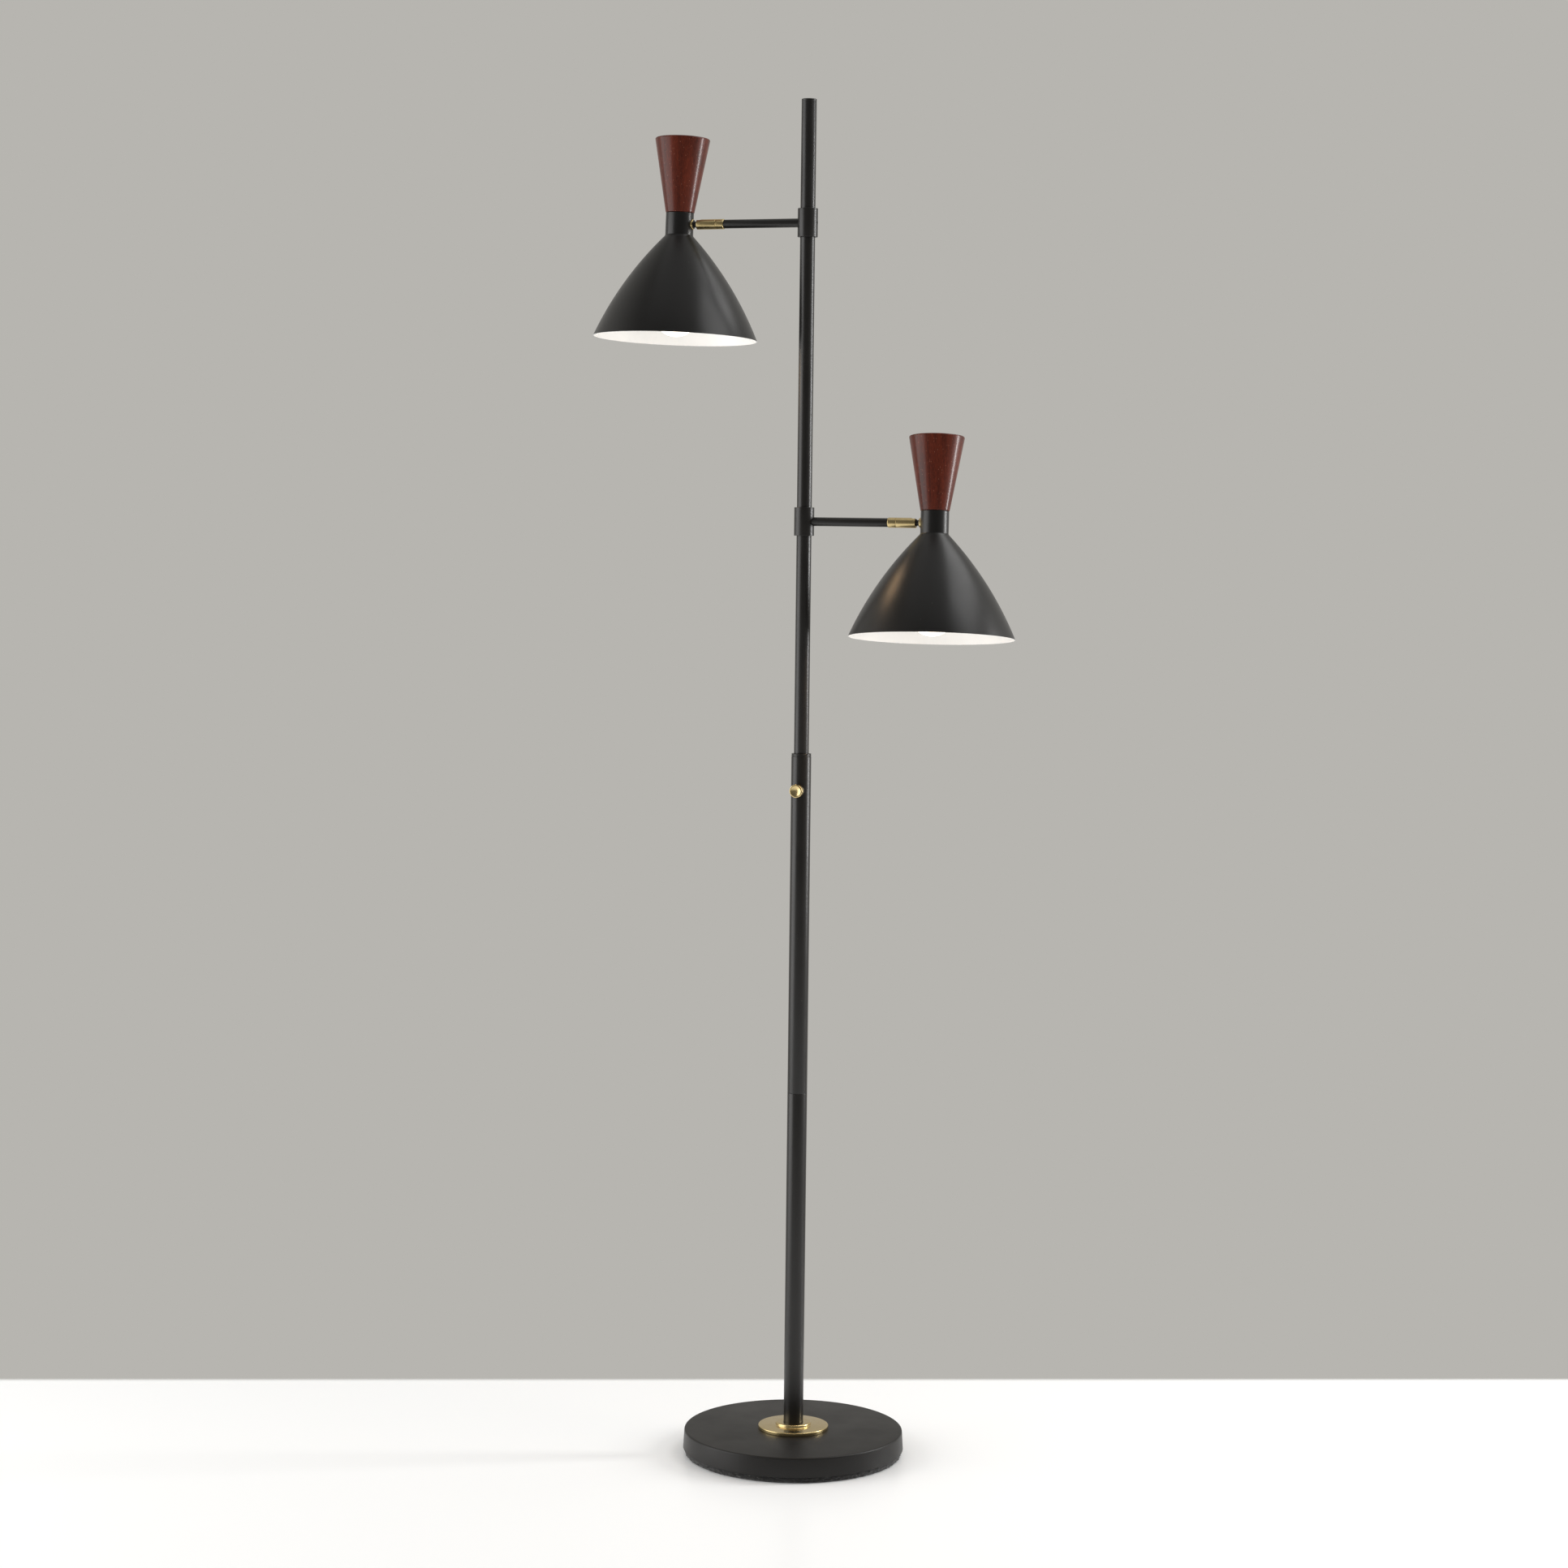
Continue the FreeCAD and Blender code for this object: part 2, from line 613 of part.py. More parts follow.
def swivel_housing(height, side, swivel):
    """Brass sleeve: a rolled-in nose traps the ball, and a slot lets its stem swing."""
    body = turned([(0, housing_rear()), (HOUSING_RADIUS, housing_rear(), EDGE_BREAK),
                   (HOUSING_RADIUS, HOUSING_NOSE, SWIVEL_ROUND), (0, HOUSING_NOSE)])
    body = body.cut(rod(HOUSING_BORE_RADIUS, -AWAY, 0)).cut(ball_cavity())
    # turned along X later, so the top of the lamp is -X here
    slot = Part.makeBox(AWAY, SLOT_WIDTH, AWAY, Vector(-AWAY, -SLOT_WIDTH / 2, 0))
    end = Part.makeCylinder(SLOT_WIDTH / 2, AWAY, ORIGIN, Vector(-1, 0, 0))
    return on_swivel(body.cut(slot).cut(end), height, side, swivel)


def swivel_plug(height, side, swivel):
    back = housing_rear()
    plug = tube(HOUSING_BORE_RADIUS, SPIGOT_RADIUS + SPIGOT_PLAY, back,
                back + END_PLUG_HEIGHT, EDGE_BREAK)
    return on_swivel(plug, height, side, swivel)


def swivel_seat(height, side, swivel):
    """Nylon cup that presses on the back of the ball."""
    cup = tube(HOUSING_BORE_RADIUS - BALL_PLAY, SPIGOT_BORE_RADIUS, -SEAT_MOUTH - SEAT_LENGTH,
               -SEAT_MOUTH, EDGE_BREAK)
    return on_swivel(cup.cut(ball_cavity()), height, side, swivel)


def swivel_spring(height, side, swivel):
    """Disc springs in series, edge to edge, between the spigot's nut and the seat."""
    front = -SEAT_MOUTH - SEAT_LENGTH
    back = spigot_nut_back() + SPIGOT_NUT_HEIGHT + SWIVEL_GAP
    pitch = (front - back) / SPRING_DISCS
    inner = SPIGOT_BORE_RADIUS + SPRING_CLEARANCE
    outer = HOUSING_BORE_RADIUS - SPRING_CLEARANCE - SPRING_WALL
    bends = [(outer if number % 2 else inner, back + number * pitch)
             for number in range(SPRING_DISCS + 1)]
    outside = [(radius + SPRING_WALL, z) for radius, z in reversed(bends)]
    return on_swivel(turned(bends + outside), height, side, swivel)


# ---- head ----------------------------------------------------------------------------
def on_head(shape, height, side, swivel, tilt):
    """Place a piece made about the head's own axis, arm axis at height 0."""
    turn = Rotation(UP, side).multiply(Rotation(Vector(1, 0, 0), swivel))
    turn = turn.multiply(Rotation(Vector(0, 1, 0), -tilt))
    reach = HEAD_REACH - BALL_TO_HEAD_AXIS
    ball = Rotation(UP, side).multVec(Vector(reach, 0, 0)) + Vector(0, 0, height)
    return moved(moved(shape, None, Vector(BALL_TO_HEAD_AXIS, 0, 0)), turn, ball)


def from_ball(shape):
    """Lay a piece made along Z from the ball's centre on the arm's axis of the head."""
    return along_x(shape, Vector(-BALL_TO_HEAD_AXIS, 0, 0))


def ball_stem():
    """Ball, waist, collar and threaded end of the head's stem, drilled for the lead."""
    collar_back = BALL_TO_HEAD_AXIS - RING_FRONT
    waist = turned([
        (0, 0), (STEM_RADIUS, 0),
        (STEM_RADIUS, collar_back - STEM_COLLAR_HEIGHT),
        (STEM_COLLAR_RADIUS, collar_back - STEM_COLLAR_HEIGHT, EDGE_BREAK),
        (STEM_COLLAR_RADIUS, collar_back, EDGE_BREAK),
        (STEM_THREAD_RADIUS, collar_back),
        (STEM_THREAD_RADIUS, STEM_END, THREAD_BEVEL),
        (0, STEM_END),
    ])
    stem = Part.makeSphere(BALL_RADIUS).fuse(waist)
    stem = stem.cut(rod(STEM_BORE_RADIUS, -AWAY, AWAY))
    width, depth = STEM_FLARE
    flare = Part.makeCone(width, STEM_BORE_RADIUS, depth, Vector(0, 0, -BALL_RADIUS))
    return from_ball(stem.cut(flare).removeSplitter())


def neck_ring():
    """Brass ring between the stem's collar and the neck, saddled to the round neck."""
    front = BALL_TO_HEAD_AXIS - RING_FRONT
    back = front + RING_BLANK
    ring = turned([(STEM_THREAD_RADIUS, front), (RING_RADIUS, front, SWIVEL_ROUND),
                   (RING_RADIUS, back), (STEM_THREAD_RADIUS, back)])
    return from_ball(ring).cut(rod(NECK_RADIUS, -AWAY, AWAY))


def stem_nut():
    inside = NECK_RADIUS - SHADE_WALL
    blank = nut(STEM_NUT_FLATS, STEM_THREAD_RADIUS, BALL_TO_HEAD_AXIS - NECK_RADIUS,
                STEM_NUT_END)
    return from_ball(blank).common(rod(inside, -NECK_HALF, NECK_HALF))


def flank_arc():
    """Centre and radius of the flank's circle in the (radius, height) plane."""
    top = Vector(NECK_RADIUS, 0, -NECK_HALF)
    rim = Vector(RIM_RADIUS, 0, -NECK_HALF - SHADE_HEIGHT)
    chord = rim - top
    radius = chord.Length ** 2 / (8 * FLANK_BULGE) + FLANK_BULGE / 2
    inward = Vector(chord.z, 0, -chord.x).normalize()
    centre = top + chord * 0.5 + inward * (radius - FLANK_BULGE)
    return centre, radius


def shade_side(offset):
    """Edges of the neck, cove and flank, offset inwards from the outer face."""
    centre, radius = flank_arc()
    radius -= offset
    neck = NECK_RADIUS - offset
    cove = NECK_COVE + offset
    cove_r = neck + cove
    cove_z = centre.z + math.sqrt((radius + cove) ** 2 - (cove_r - centre.x) ** 2)
    cove_centre = Vector(cove_r, 0, cove_z)
    join = centre + (cove_centre - centre).normalize() * radius
    rim_z = -NECK_HALF - SHADE_HEIGHT
    rim_r = centre.x + math.sqrt(radius ** 2 - (rim_z - centre.z) ** 2)
    rim = Vector(rim_r, 0, rim_z)
    towards = ((join - cove_centre).normalize() + Vector(-1, 0, 0)).normalize()
    top = Vector(neck, 0, NECK_HALF - offset)
    start = Vector(neck, 0, cove_z)
    middle = centre + ((join + rim) * 0.5 - centre).normalize() * radius
    edges = [Part.LineSegment(top, start).toShape(),
             arc(start, cove_centre + towards * cove, join),
             arc(join, middle, rim)]
    return edges, top, rim


def shade():
    """Shade and neck spun in one from sheet, closed on top."""
    outer, outer_top, outer_rim = shade_side(0)
    inner, inner_top, inner_rim = shade_side(SHADE_WALL)
    outer_pole = Vector(PIPE_RADIUS, 0, NECK_HALF)
    inner_pole = Vector(PIPE_RADIUS, 0, NECK_HALF - SHADE_WALL)
    closing = [Part.LineSegment(outer_rim, inner_rim).toShape(),
               Part.LineSegment(inner_top, inner_pole).toShape(),
               Part.LineSegment(inner_pole, outer_pole).toShape(),
               Part.LineSegment(outer_pole, outer_top).toShape()]
    wire = Part.Wire(Part.__sortEdges__(outer + inner + closing))
    spun = turned_wire(wire)
    rounds = [edge for edge in spun.Edges
              if abs(edge.BoundBox.ZMin - NECK_HALF) < 1e-3
              and abs(edge.BoundBox.XMax - NECK_RADIUS) < 1e-2]
    spun = spun.makeFillet(NECK_TOP_ROUND, rounds)
    hole = along_x(rod(STEM_THREAD_RADIUS, -AWAY, 0))
    return spun.cut(hole)


def wood_cone():
    """Turned and lacquered cone, drilled from below for its threaded insert."""
    foot = NECK_HALF
    top = foot + WOOD_HEIGHT
    return turned([
        (INSERT_RADIUS, foot),
        (WOOD_FOOT_RADIUS, foot, WOOD_FOOT_ROUND),
        (WOOD_TOP_RADIUS, top, WOOD_TOP_ROUND),
        (0, top),
        (0, foot + INSERT_DEPTH + DRILL_POINT),
        (INSERT_RADIUS, foot + INSERT_DEPTH),
    ])


def wood_insert():
    return tube(INSERT_RADIUS, PIPE_RADIUS, NECK_HALF, NECK_HALF + INSERT_DEPTH - PIPE_SHORT,
                THREAD_BEVEL)


def head_nipple():
    return tube(PIPE_RADIUS, PIPE_BORE_RADIUS, SOCKET_TOP - SOCKET_ROOF + THREAD_BEVEL,
                NECK_HALF + INSERT_DEPTH - 2 * PIPE_SHORT, THREAD_BEVEL)


def neck_nut():
    top = NECK_HALF - SHADE_WALL
    return nut(NECK_NUT_FLATS, PIPE_RADIUS, top - NECK_NUT_HEIGHT, top)


def socket_floor():
    """Where the lamp holder's contacts sit."""
    return SOCKET_TOP - SOCKET_ROOF - SOCKET_FLOOR


def socket_body():
    """Moulded lamp holder: domed roof with the thread, straight skirt, open mouth."""
    return turned([
        (PIPE_RADIUS, SOCKET_TOP),
        (SOCKET_RADIUS - SOCKET_DOME, SOCKET_TOP, SOCKET_DOME / 4),
        (SOCKET_RADIUS, SOCKET_TOP - SOCKET_ROOF, SOCKET_DOME / 2),
        (SOCKET_RADIUS, SOCKET_MOUTH, EDGE_BREAK),
        (SCREW_SHELL_RADIUS, SOCKET_MOUTH),
        (SCREW_SHELL_RADIUS, socket_floor()),
        (PIPE_RADIUS, socket_floor()),
    ])


def socket_contacts():
    """Screw shell and sprung centre contact, two separate pieces of brass."""
    roof = socket_floor()
    seat = roof - SCREW_SHELL_WALL
    outer = SCREW_SHELL_RADIUS
    inner = outer - SCREW_SHELL_WALL
    mouth = SOCKET_MOUTH + SCREW_SHELL_SUNK
    shell = turned([(inner, mouth), (outer, mouth), (outer, roof),
                    (SHELL_SEAT_RADIUS, roof), (SHELL_SEAT_RADIUS, seat), (inner, seat)])
    contact = turned([(0, CONTACT_HEIGHT), (CONTACT_RADIUS, CONTACT_HEIGHT, EDGE_BREAK),
                      (CONTACT_RADIUS, roof), (0, roof)])
    return Part.makeCompound([shell, contact])


def bulb_base():
    """Screw cap of the bulb with its insulator and centre contact."""
    insulator = CONTACT_HEIGHT - BULB_TIP_HEIGHT
    shoulder = insulator - BULB_BASE_SHOULDER
    return turned([
        (0, CONTACT_HEIGHT), (CONTACT_RADIUS, CONTACT_HEIGHT, EDGE_BREAK),
        (BULB_TIP_RADIUS, insulator),
        (BULB_BASE_RADIUS, shoulder, BULB_BASE_SHOULDER),
        (BULB_BASE_RADIUS, BULB_BASE_END), (0, BULB_BASE_END),
    ])


def bulb_side(offset):
    """Edges of the globe, the hollow shoulder and the neck of the glass."""
    globe = BULB_RADIUS - offset
    shoulder = BULB_SHOULDER + offset
    neck = BULB_NECK_RADIUS - offset
    globe_z = BULB_END + BULB_RADIUS
    shoulder_r = neck + shoulder
    shoulder_z = globe_z + math.sqrt((globe + shoulder) ** 2 - shoulder_r ** 2)
    globe_centre = Vector(0, 0, globe_z)
    shoulder_centre = Vector(shoulder_r, 0, shoulder_z)
    join = globe_centre + (shoulder_centre - globe_centre).normalize() * globe
    towards = ((join - shoulder_centre).normalize() + Vector(-1, 0, 0)).normalize()
    top = Vector(neck, 0, BULB_BASE_END)
    start = Vector(neck, 0, shoulder_z)
    tip = Vector(0, 0, globe_z - globe)
    belly = globe_centre + ((join + tip) * 0.5 - globe_centre).normalize() * globe
    edges = [Part.LineSegment(top, start).toShape(),
             arc(start, shoulder_centre + towards * shoulder, join),
             arc(join, belly, tip)]
    return edges, top, tip


def bulb_glass():
    outer, outer_top, outer_tip = bulb_side(0)
    inner, inner_top, inner_tip = bulb_side(GLASS_WALL)
    closing = [Part.LineSegment(outer_top, inner_top).toShape(),
               Part.LineSegment(outer_tip, inner_tip).toShape()]
    return turned_wire(Part.Wire(Part.__sortEdges__(outer + inner + closing)))


# ---- assembly ------------------------------------------------------------------------
HEAD_PIECES = {
    "ball_stem": ball_stem, "neck_ring": neck_ring, "stem_nut": stem_nut, "shade": shade,
    "wood_cone": wood_cone, "wood_insert": wood_insert, "head_nipple": head_nipple,
    "neck_nut": neck_nut, "socket_body": socket_body, "socket_contacts": socket_contacts,
    "bulb_base": bulb_base, "bulb_glass": bulb_glass,
}
SWIVEL_PIECES = {
    "swivel_housing": swivel_housing, "swivel_plug": swivel_plug,
    "swivel_seat": swivel_seat, "swivel_spring": swivel_spring,
}
ARM_PIECES = {"collar": collar, "arm": arm, "swivel_base": swivel_base}
STAND_PIECES = [
    base_pad, base_shell, base_weight, base_flange, cord_bushing, foot_nipple, foot_washer,
    foot_nut, pole_foot_insert, pole_lower, pole_coupler, pole_middle, pole_reducer,
    pole_upper, pole_cap, switch_body, switch_nut, switch_knob, switch_spindle,
]


def build():
    nodes = {piece.__name__: piece() for piece in STAND_PIECES}
    for name, (height, side, swivel, tilt) in HEADS.items():
        for piece, make in ARM_PIECES.items():
            nodes[name + "_" + piece] = make(height, side)
        for piece, make in SWIVEL_PIECES.items():
            nodes[name + "_" + piece] = make(height, side, swivel)
        for piece, make in HEAD_PIECES.items():
            nodes[name + "_" + piece] = on_head(make(), height, side, swivel, tilt)
    places = [(height, side) for height, side, _swivel, _tilt in HEADS.values()]
    nodes["collar_set_screws"] = Part.makeCompound([set_screw(*place) for place in places])
    nodes["spigot_nuts"] = Part.makeCompound([spigot_nut(*place) for place in places])
    return nodes


def main():
    os.makedirs("parts", exist_ok=True)
    for name, shape in build().items():
        if not shape.isValid() or not shape.Solids:
            raise ValueError(name + " is not a valid solid")
        shape.exportStep("parts/" + name + ".step")
        print(name, len(shape.Solids), "solid(s)", round(shape.Volume / 1000, 2), "cm3")


main()
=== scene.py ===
import json
import math

import bpy
from bpy.props import FloatProperty, FloatVectorProperty, PointerProperty
from mathutils import Matrix, Vector


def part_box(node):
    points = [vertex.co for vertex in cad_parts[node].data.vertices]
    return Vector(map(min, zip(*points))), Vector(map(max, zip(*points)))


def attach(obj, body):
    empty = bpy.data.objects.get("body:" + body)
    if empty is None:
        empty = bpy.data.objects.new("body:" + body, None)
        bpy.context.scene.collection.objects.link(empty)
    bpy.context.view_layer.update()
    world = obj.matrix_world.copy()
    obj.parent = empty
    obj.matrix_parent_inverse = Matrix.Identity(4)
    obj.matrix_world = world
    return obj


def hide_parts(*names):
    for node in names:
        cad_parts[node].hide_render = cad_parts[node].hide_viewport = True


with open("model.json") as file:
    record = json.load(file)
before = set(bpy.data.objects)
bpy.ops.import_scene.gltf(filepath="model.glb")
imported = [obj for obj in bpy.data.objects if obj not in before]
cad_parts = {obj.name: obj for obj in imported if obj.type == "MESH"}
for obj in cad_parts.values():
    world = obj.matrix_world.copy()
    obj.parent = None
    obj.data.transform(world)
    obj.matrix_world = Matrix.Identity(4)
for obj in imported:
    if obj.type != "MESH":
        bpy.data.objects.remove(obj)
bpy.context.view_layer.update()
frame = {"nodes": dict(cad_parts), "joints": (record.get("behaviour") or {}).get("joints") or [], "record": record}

bl_info = {
    "name": "Cone Shade Floor Lamp",
    "version": (1, 0, 0),
    "blender": (4, 5, 0),
    "location": "View3D > Sidebar > Floor Lamp",
    "description": "Builds a floor lamp with two swivelling cone shades round its packed frame",
    "category": "Object",
}

MM = 0.001
JOINTS = {joint["name"]: joint for joint in frame["joints"]}
HEADS = ("upper", "lower")
BENCH = "bench"               # attribute: where a point was before its piece was put in place
ARC_STEPS = 5                 # edges in a rounded corner
FINEST, FINE, COARSE = 192, 128, 64         # edges round a large to a small piece
PIPE_HOLE = 5.2 * MM          # radius of the hole for the threaded pipe in the base
WIRE_BORE = 3.8 * MM          # inner radius of an arm
BULB_COLOUR = (1.0, 0.60, 0.27)
BULB_WATTS = 1.0              # warm light that leaves each shade, apart from the glow
BULB_SPREAD = math.radians(172)
BULB_LIGHT_GAP = 6 * MM       # from a bulb's end down to its light
BULB_LIGHT_RADIUS = 50 * MM


def linear(hex_colour):
    """An sRGB hex colour as linear red, green, blue and alpha."""
    channels = [int(hex_colour[place:place + 2], 16) / 255 for place in (1, 3, 5)]
    return [c / 12.92 if c <= 0.04045 else ((c + 0.055) / 1.055) ** 2.4
            for c in channels] + [1.0]


def length(name, description, millimetres):
    return FloatProperty(name=name, description=description, default=millimetres * MM,
                         unit="LENGTH", precision=4)


def colour(name, description, hex_colour):
    return FloatVectorProperty(name=name, description=description, size=4, min=0, max=1,
                               subtype="COLOR", default=linear(hex_colour))


def height_of(node, top=True):
    """Height in millimetres of the top or the foot of a node of the frame."""
    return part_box(node)[1 if top else 0].z / MM


class LampSizes(bpy.types.PropertyGroup):
    """Sizes of the lamp that a user would change."""

    pad_radius: length("Pad radius", "Radius of the felt pad", 140.5)
    pad_height: length("Pad height", "Thickness of the felt pad", height_of("base_pad"))
    shell_top: length("Base height", "Top of the base above the floor",
                      height_of("base_shell"))
    shell_top_radius: length("Base top radius", "Radius of the base at its top", 141.5)
    shell_foot_radius: length("Base foot radius", "Radius of the base at its foot", 143)
    flange_radius: length("Flange radius", "Radius of the brass disc", 45.5)
    flange_height: length("Flange height", "Thickness of the brass disc", 5)
    boss_radius: length("Boss radius", "Radius of the boss on the brass disc", 23)
    boss_height: length("Boss height", "Height of the boss on the brass disc", 4)
    pole_radius: length("Pole radius", "Outer radius of the wide pole", 12.7)
    upper_pole_radius: length("Upper pole radius", "Outer radius of the thin pole", 9.5)
    tube_wall: length("Tube wall", "Wall of the pole's tubes", 1.2)
    seam_height: length("Seam height", "Where the two wide tubes meet",
                        height_of("pole_lower"))
    reducer_top: length("Reducer height", "Top of the ring where the pole gets thinner",
                        height_of("pole_reducer"))
    reducer_groove: length("Reducer groove", "Width of the two grooves under its lip", 0.7)
    lamp_height: length("Lamp height", "Top of the pole above the floor",
                        height_of("pole_cap"))
    knob_radius: length("Knob radius", "Radius of the switch knob", 8.5)
    dish_radius: length("Dish radius", "Radius of the hollow in the knob's face", 6.6)
    dish_depth: length("Dish depth", "Depth of the hollow in the knob's face", 1.6)
    collar_radius: length("Collar radius", "Outer radius of an arm's collar", 12.8)
    collar_height: length("Collar height", "Height of an arm's collar", 36)
    arm_radius: length("Arm radius", "Outer radius of an arm", 5.6)
    housing_radius: length("Swivel radius", "Outer radius of the brass swivel", 6.5)
    housing_length: length("Swivel length", "Length of a swivel housing", 25.7)
    nose: length("Swivel nose", "Ball centre to the front of its housing", 3)
    base_length: length("Swivel base length", "Brass ring on the end of an arm", 10.7)
    slot_width: length("Slot width", "Width of the slot in a swivel housing", 7.8)
    ball_radius: length("Ball radius", "Radius of the ball in a swivel", 5.6)
    stem_radius: length("Stem radius", "Radius of the stem on the ball", 3.6)
    ball_to_axis: length("Head offset", "Ball centre to the axis of its head", 27)
    ring_radius: length("Neck ring radius", "Radius of the brass ring on a neck", 6.6)
    ring_front: length("Neck ring front", "Axis of a head to its brass ring's front", 19.2)
    neck_radius: length("Neck radius", "Radius of a shade's neck", 17.9)
    neck_half: length("Half neck", "Half the height of a shade's neck", 14.6)
    shade_height: length("Shade height", "Height of the cone below its neck", 131)
    shade_wall: length("Shade wall", "Thickness of the spun sheet", 0.9)
    rim_radius: length("Rim radius", "Radius of a shade at its rim", 105.2)
    flank_bulge: length("Flank bulge", "How far the cone's side swells outwards", 7.2)
    neck_cove: length("Neck cove", "Radius where the neck runs into the cone", 4)
    wood_height: length("Wood height", "Height of a wood cone", 94.4)
    wood_foot_radius: length("Wood foot", "Radius of a wood cone at its foot", 18.4)
    wood_top_radius: length("Wood top", "Radius of a wood cone at its top", 35.4)
    bulb_radius: length("Bulb radius", "Radius of a bulb's globe", 30)
    bulb_end: length("Bulb end", "Arm's axis to the bottom of the bulb", 143)


class LampColours(bpy.types.PropertyGroup):
    """Colours of the lamp's finishes."""

    black_paint: colour("Black paint", "Powder coat of the stand and arms", "#151311")
    shade_paint: colour("Shade paint", "Satin paint on the outside of the shades", "#121110")
    white_enamel: colour("White enamel", "Inside of the shades", "#efefee")
    brass: colour("Brass", "Lacquered satin brass", "#d4be8a")
    wood_dark: colour("Dark wood", "Stain in the late wood", "#340f06")
    wood_light: colour("Light wood", "Stain in the early wood", "#5c200d")
    felt: colour("Felt", "Pressed felt under the base", "#0f0e0d")
    lamp_glow: colour("Lamp glow", "Light of the bulbs", "#fff0dc")
    floor: colour("Floor", "The pale floor of the stage", "#f7f7f6")
    backdrop: colour("Backdrop", "What lies behind the lamp", "#b7b5b0")


# ---- shaping -------------------------------------------------------------------------
def point(radius, height):
    return Vector((radius, height))


def arc(centre, start, end, steps):
    """Points of the shorter arc about centre, after start and up to end."""
    first, last = start - centre, end - centre
    begin = math.atan2(first.y, first.x)
    turn = math.atan2(last.y, last.x) - begin
    turn = (turn + math.pi) % math.tau - math.pi
    size = first.length
    angles = [begin + turn * step / steps for step in range(1, steps)]
    return [centre + point(size * math.cos(a), size * math.sin(a)) for a in angles] + [end]


def rounded(corners):
    """Outline points in metres from (radius, height) corners in metres; a third number
    rounds that corner."""
    points = [point(*corner[:2]) for corner in corners]
    made = []
    for place, corner in enumerate(corners):
        here = points[place]
        if len(corner) == 2:
            made.append(here)
            continue
        back = (points[place - 1] - here).normalized()
        ahead = (points[(place + 1) % len(points)] - here).normalized()
        half = back.angle(ahead) / 2
        reach = corner[2] / math.tan(half)
        centre = here + (back + ahead).normalized() * (corner[2] / math.sin(half))
        start = here + back * reach
        made += [start] + arc(centre, start, here + ahead * reach, ARC_STEPS)
    return made


def in_millimetres(corners):
    return [tuple(number * MM for number in corner) for corner in corners]


def new_piece(name):
    """A single vertex at the origin, in edit mode: a plane merged to its middle."""
    select_none()
    bpy.ops.mesh.primitive_plane_add(size=MM, location=(0, 0, 0))
    piece = bpy.context.object
    piece.name = piece.data.name = name
    bpy.ops.object.mode_set(mode="EDIT")
    bpy.ops.mesh.select_all(action="SELECT")
    bpy.ops.mesh.merge(type="CENTER")
    return piece


def close_up():
    """Merge what lies together, turn every face outwards and leave edit mode."""
    bpy.ops.mesh.select_all(action="SELECT")
    bpy.ops.mesh.remove_doubles(threshold=0.004 * MM)
    bpy.ops.mesh.normals_make_consistent(inside=False)
    bpy.ops.object.mode_set(mode="OBJECT")


def turned(name, outline, steps=FINE):
    """Draw an outline in the XZ plane vertex by vertex and spin it about Z. An outline
    that doesn't start and end on the axis is closed first."""
    piece = new_piece(name)
    spots = [Vector((spot.x, 0, spot.y)) for spot in outline]
    if outline[0].x > 0 or outline[-1].x > 0:
        spots.append(spots[0])
    bpy.ops.transform.translate(value=spots[0])
    for before, spot in zip(spots, spots[1:]):
        bpy.ops.mesh.extrude_region_move(TRANSFORM_OT_translate={"value": spot - before})
    bpy.ops.mesh.select_all(action="SELECT")
    bpy.ops.mesh.spin(steps=steps, angle=math.tau, center=(0, 0, 0), axis=(0, 0, 1))
    close_up()
    return smooth(piece)


def smooth(piece, degrees=30):
    only(piece)
    bpy.ops.object.shade_smooth_by_angle(angle=math.radians(degrees))
    return piece


def select_none():
    bpy.ops.object.select_all(action="DESELECT")


def only(piece):
    """Make a piece the one that operators act on."""
    select_none()
    piece.select_set(True)
    bpy.context.view_layer.objects.active = piece


def put(piece, placement):
    """Move a piece's mesh to its place; the object stays at the origin."""
    only(piece)
    piece.matrix_world = placement
    bpy.ops.object.transform_apply(location=True, rotation=True, scale=True)


def tube(name, radius, bore, foot, top, edge=0.4 * MM, steps=COARSE):
    """Round tube along Z with rounded outer ends."""
    return turned(name, rounded([(bore, foot), (radius, foot, edge), (radius, top, edge),
                                 (bore, top)]), steps)


def apply(piece, kind, **settings):
    """Add a modifier and apply it at once."""
    only(piece)
    modifier = piece.modifiers.new(kind.title(), kind)
    for name, value in settings.items():
        setattr(modifier, name, value)
    bpy.ops.object.modifier_apply(modifier=modifier.name)
    return piece


def cut(piece, cutter):
    """Take the cutter's shape out of a piece and remove the cutter."""
    apply(piece, "BOOLEAN", operation="DIFFERENCE", solver="EXACT", object=cutter)
    bpy.data.objects.remove(cutter, do_unlink=True)
    return piece


def block(name, low, high):
    """A box between two corners."""
    middle = (low + high) / 2
    select_none()
    bpy.ops.mesh.primitive_cube_add(size=1, location=middle, scale=high - low)
    bpy.context.object.name = name
    bpy.ops.object.transform_apply(location=True, rotation=True, scale=True)
    return bpy.context.object


def twin(piece, name):
    """A copy with a mesh of its own."""
    copy = piece.copy()
    copy.data = piece.data.copy()
    copy.name = copy.data.name = name
    bpy.context.scene.collection.objects.link(copy)
    return copy


def settle(piece, body, nodes, finishes, placement=None):
    """Note where the piece's points lie on the bench, put it in place, and give it its
    body, material slot, replaced nodes and finishes."""
    spots = [number for vertex in piece.data.vertices for number in vertex.co]
    piece.data.attributes.new(BENCH, "FLOAT_VECTOR", "POINT").data.foreach_set("vector", spots)
    put(piece, placement or Matrix.Identity(4))
    if not piece.data.materials:
        for finish in finishes:
            piece.data.materials.append(finish)
    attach(piece, body)
    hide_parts(*nodes)
    return piece


# ---- where the arms and heads are ------------------------------------------------------
def basis(origin, x_axis, y_axis):
    """Placement whose X and Y axes point along two given directions."""
    z_axis = x_axis.cross(y_axis)
    return Matrix.Translation(origin) @ Matrix((x_axis, y_axis, z_axis)).transposed().to_4x4()


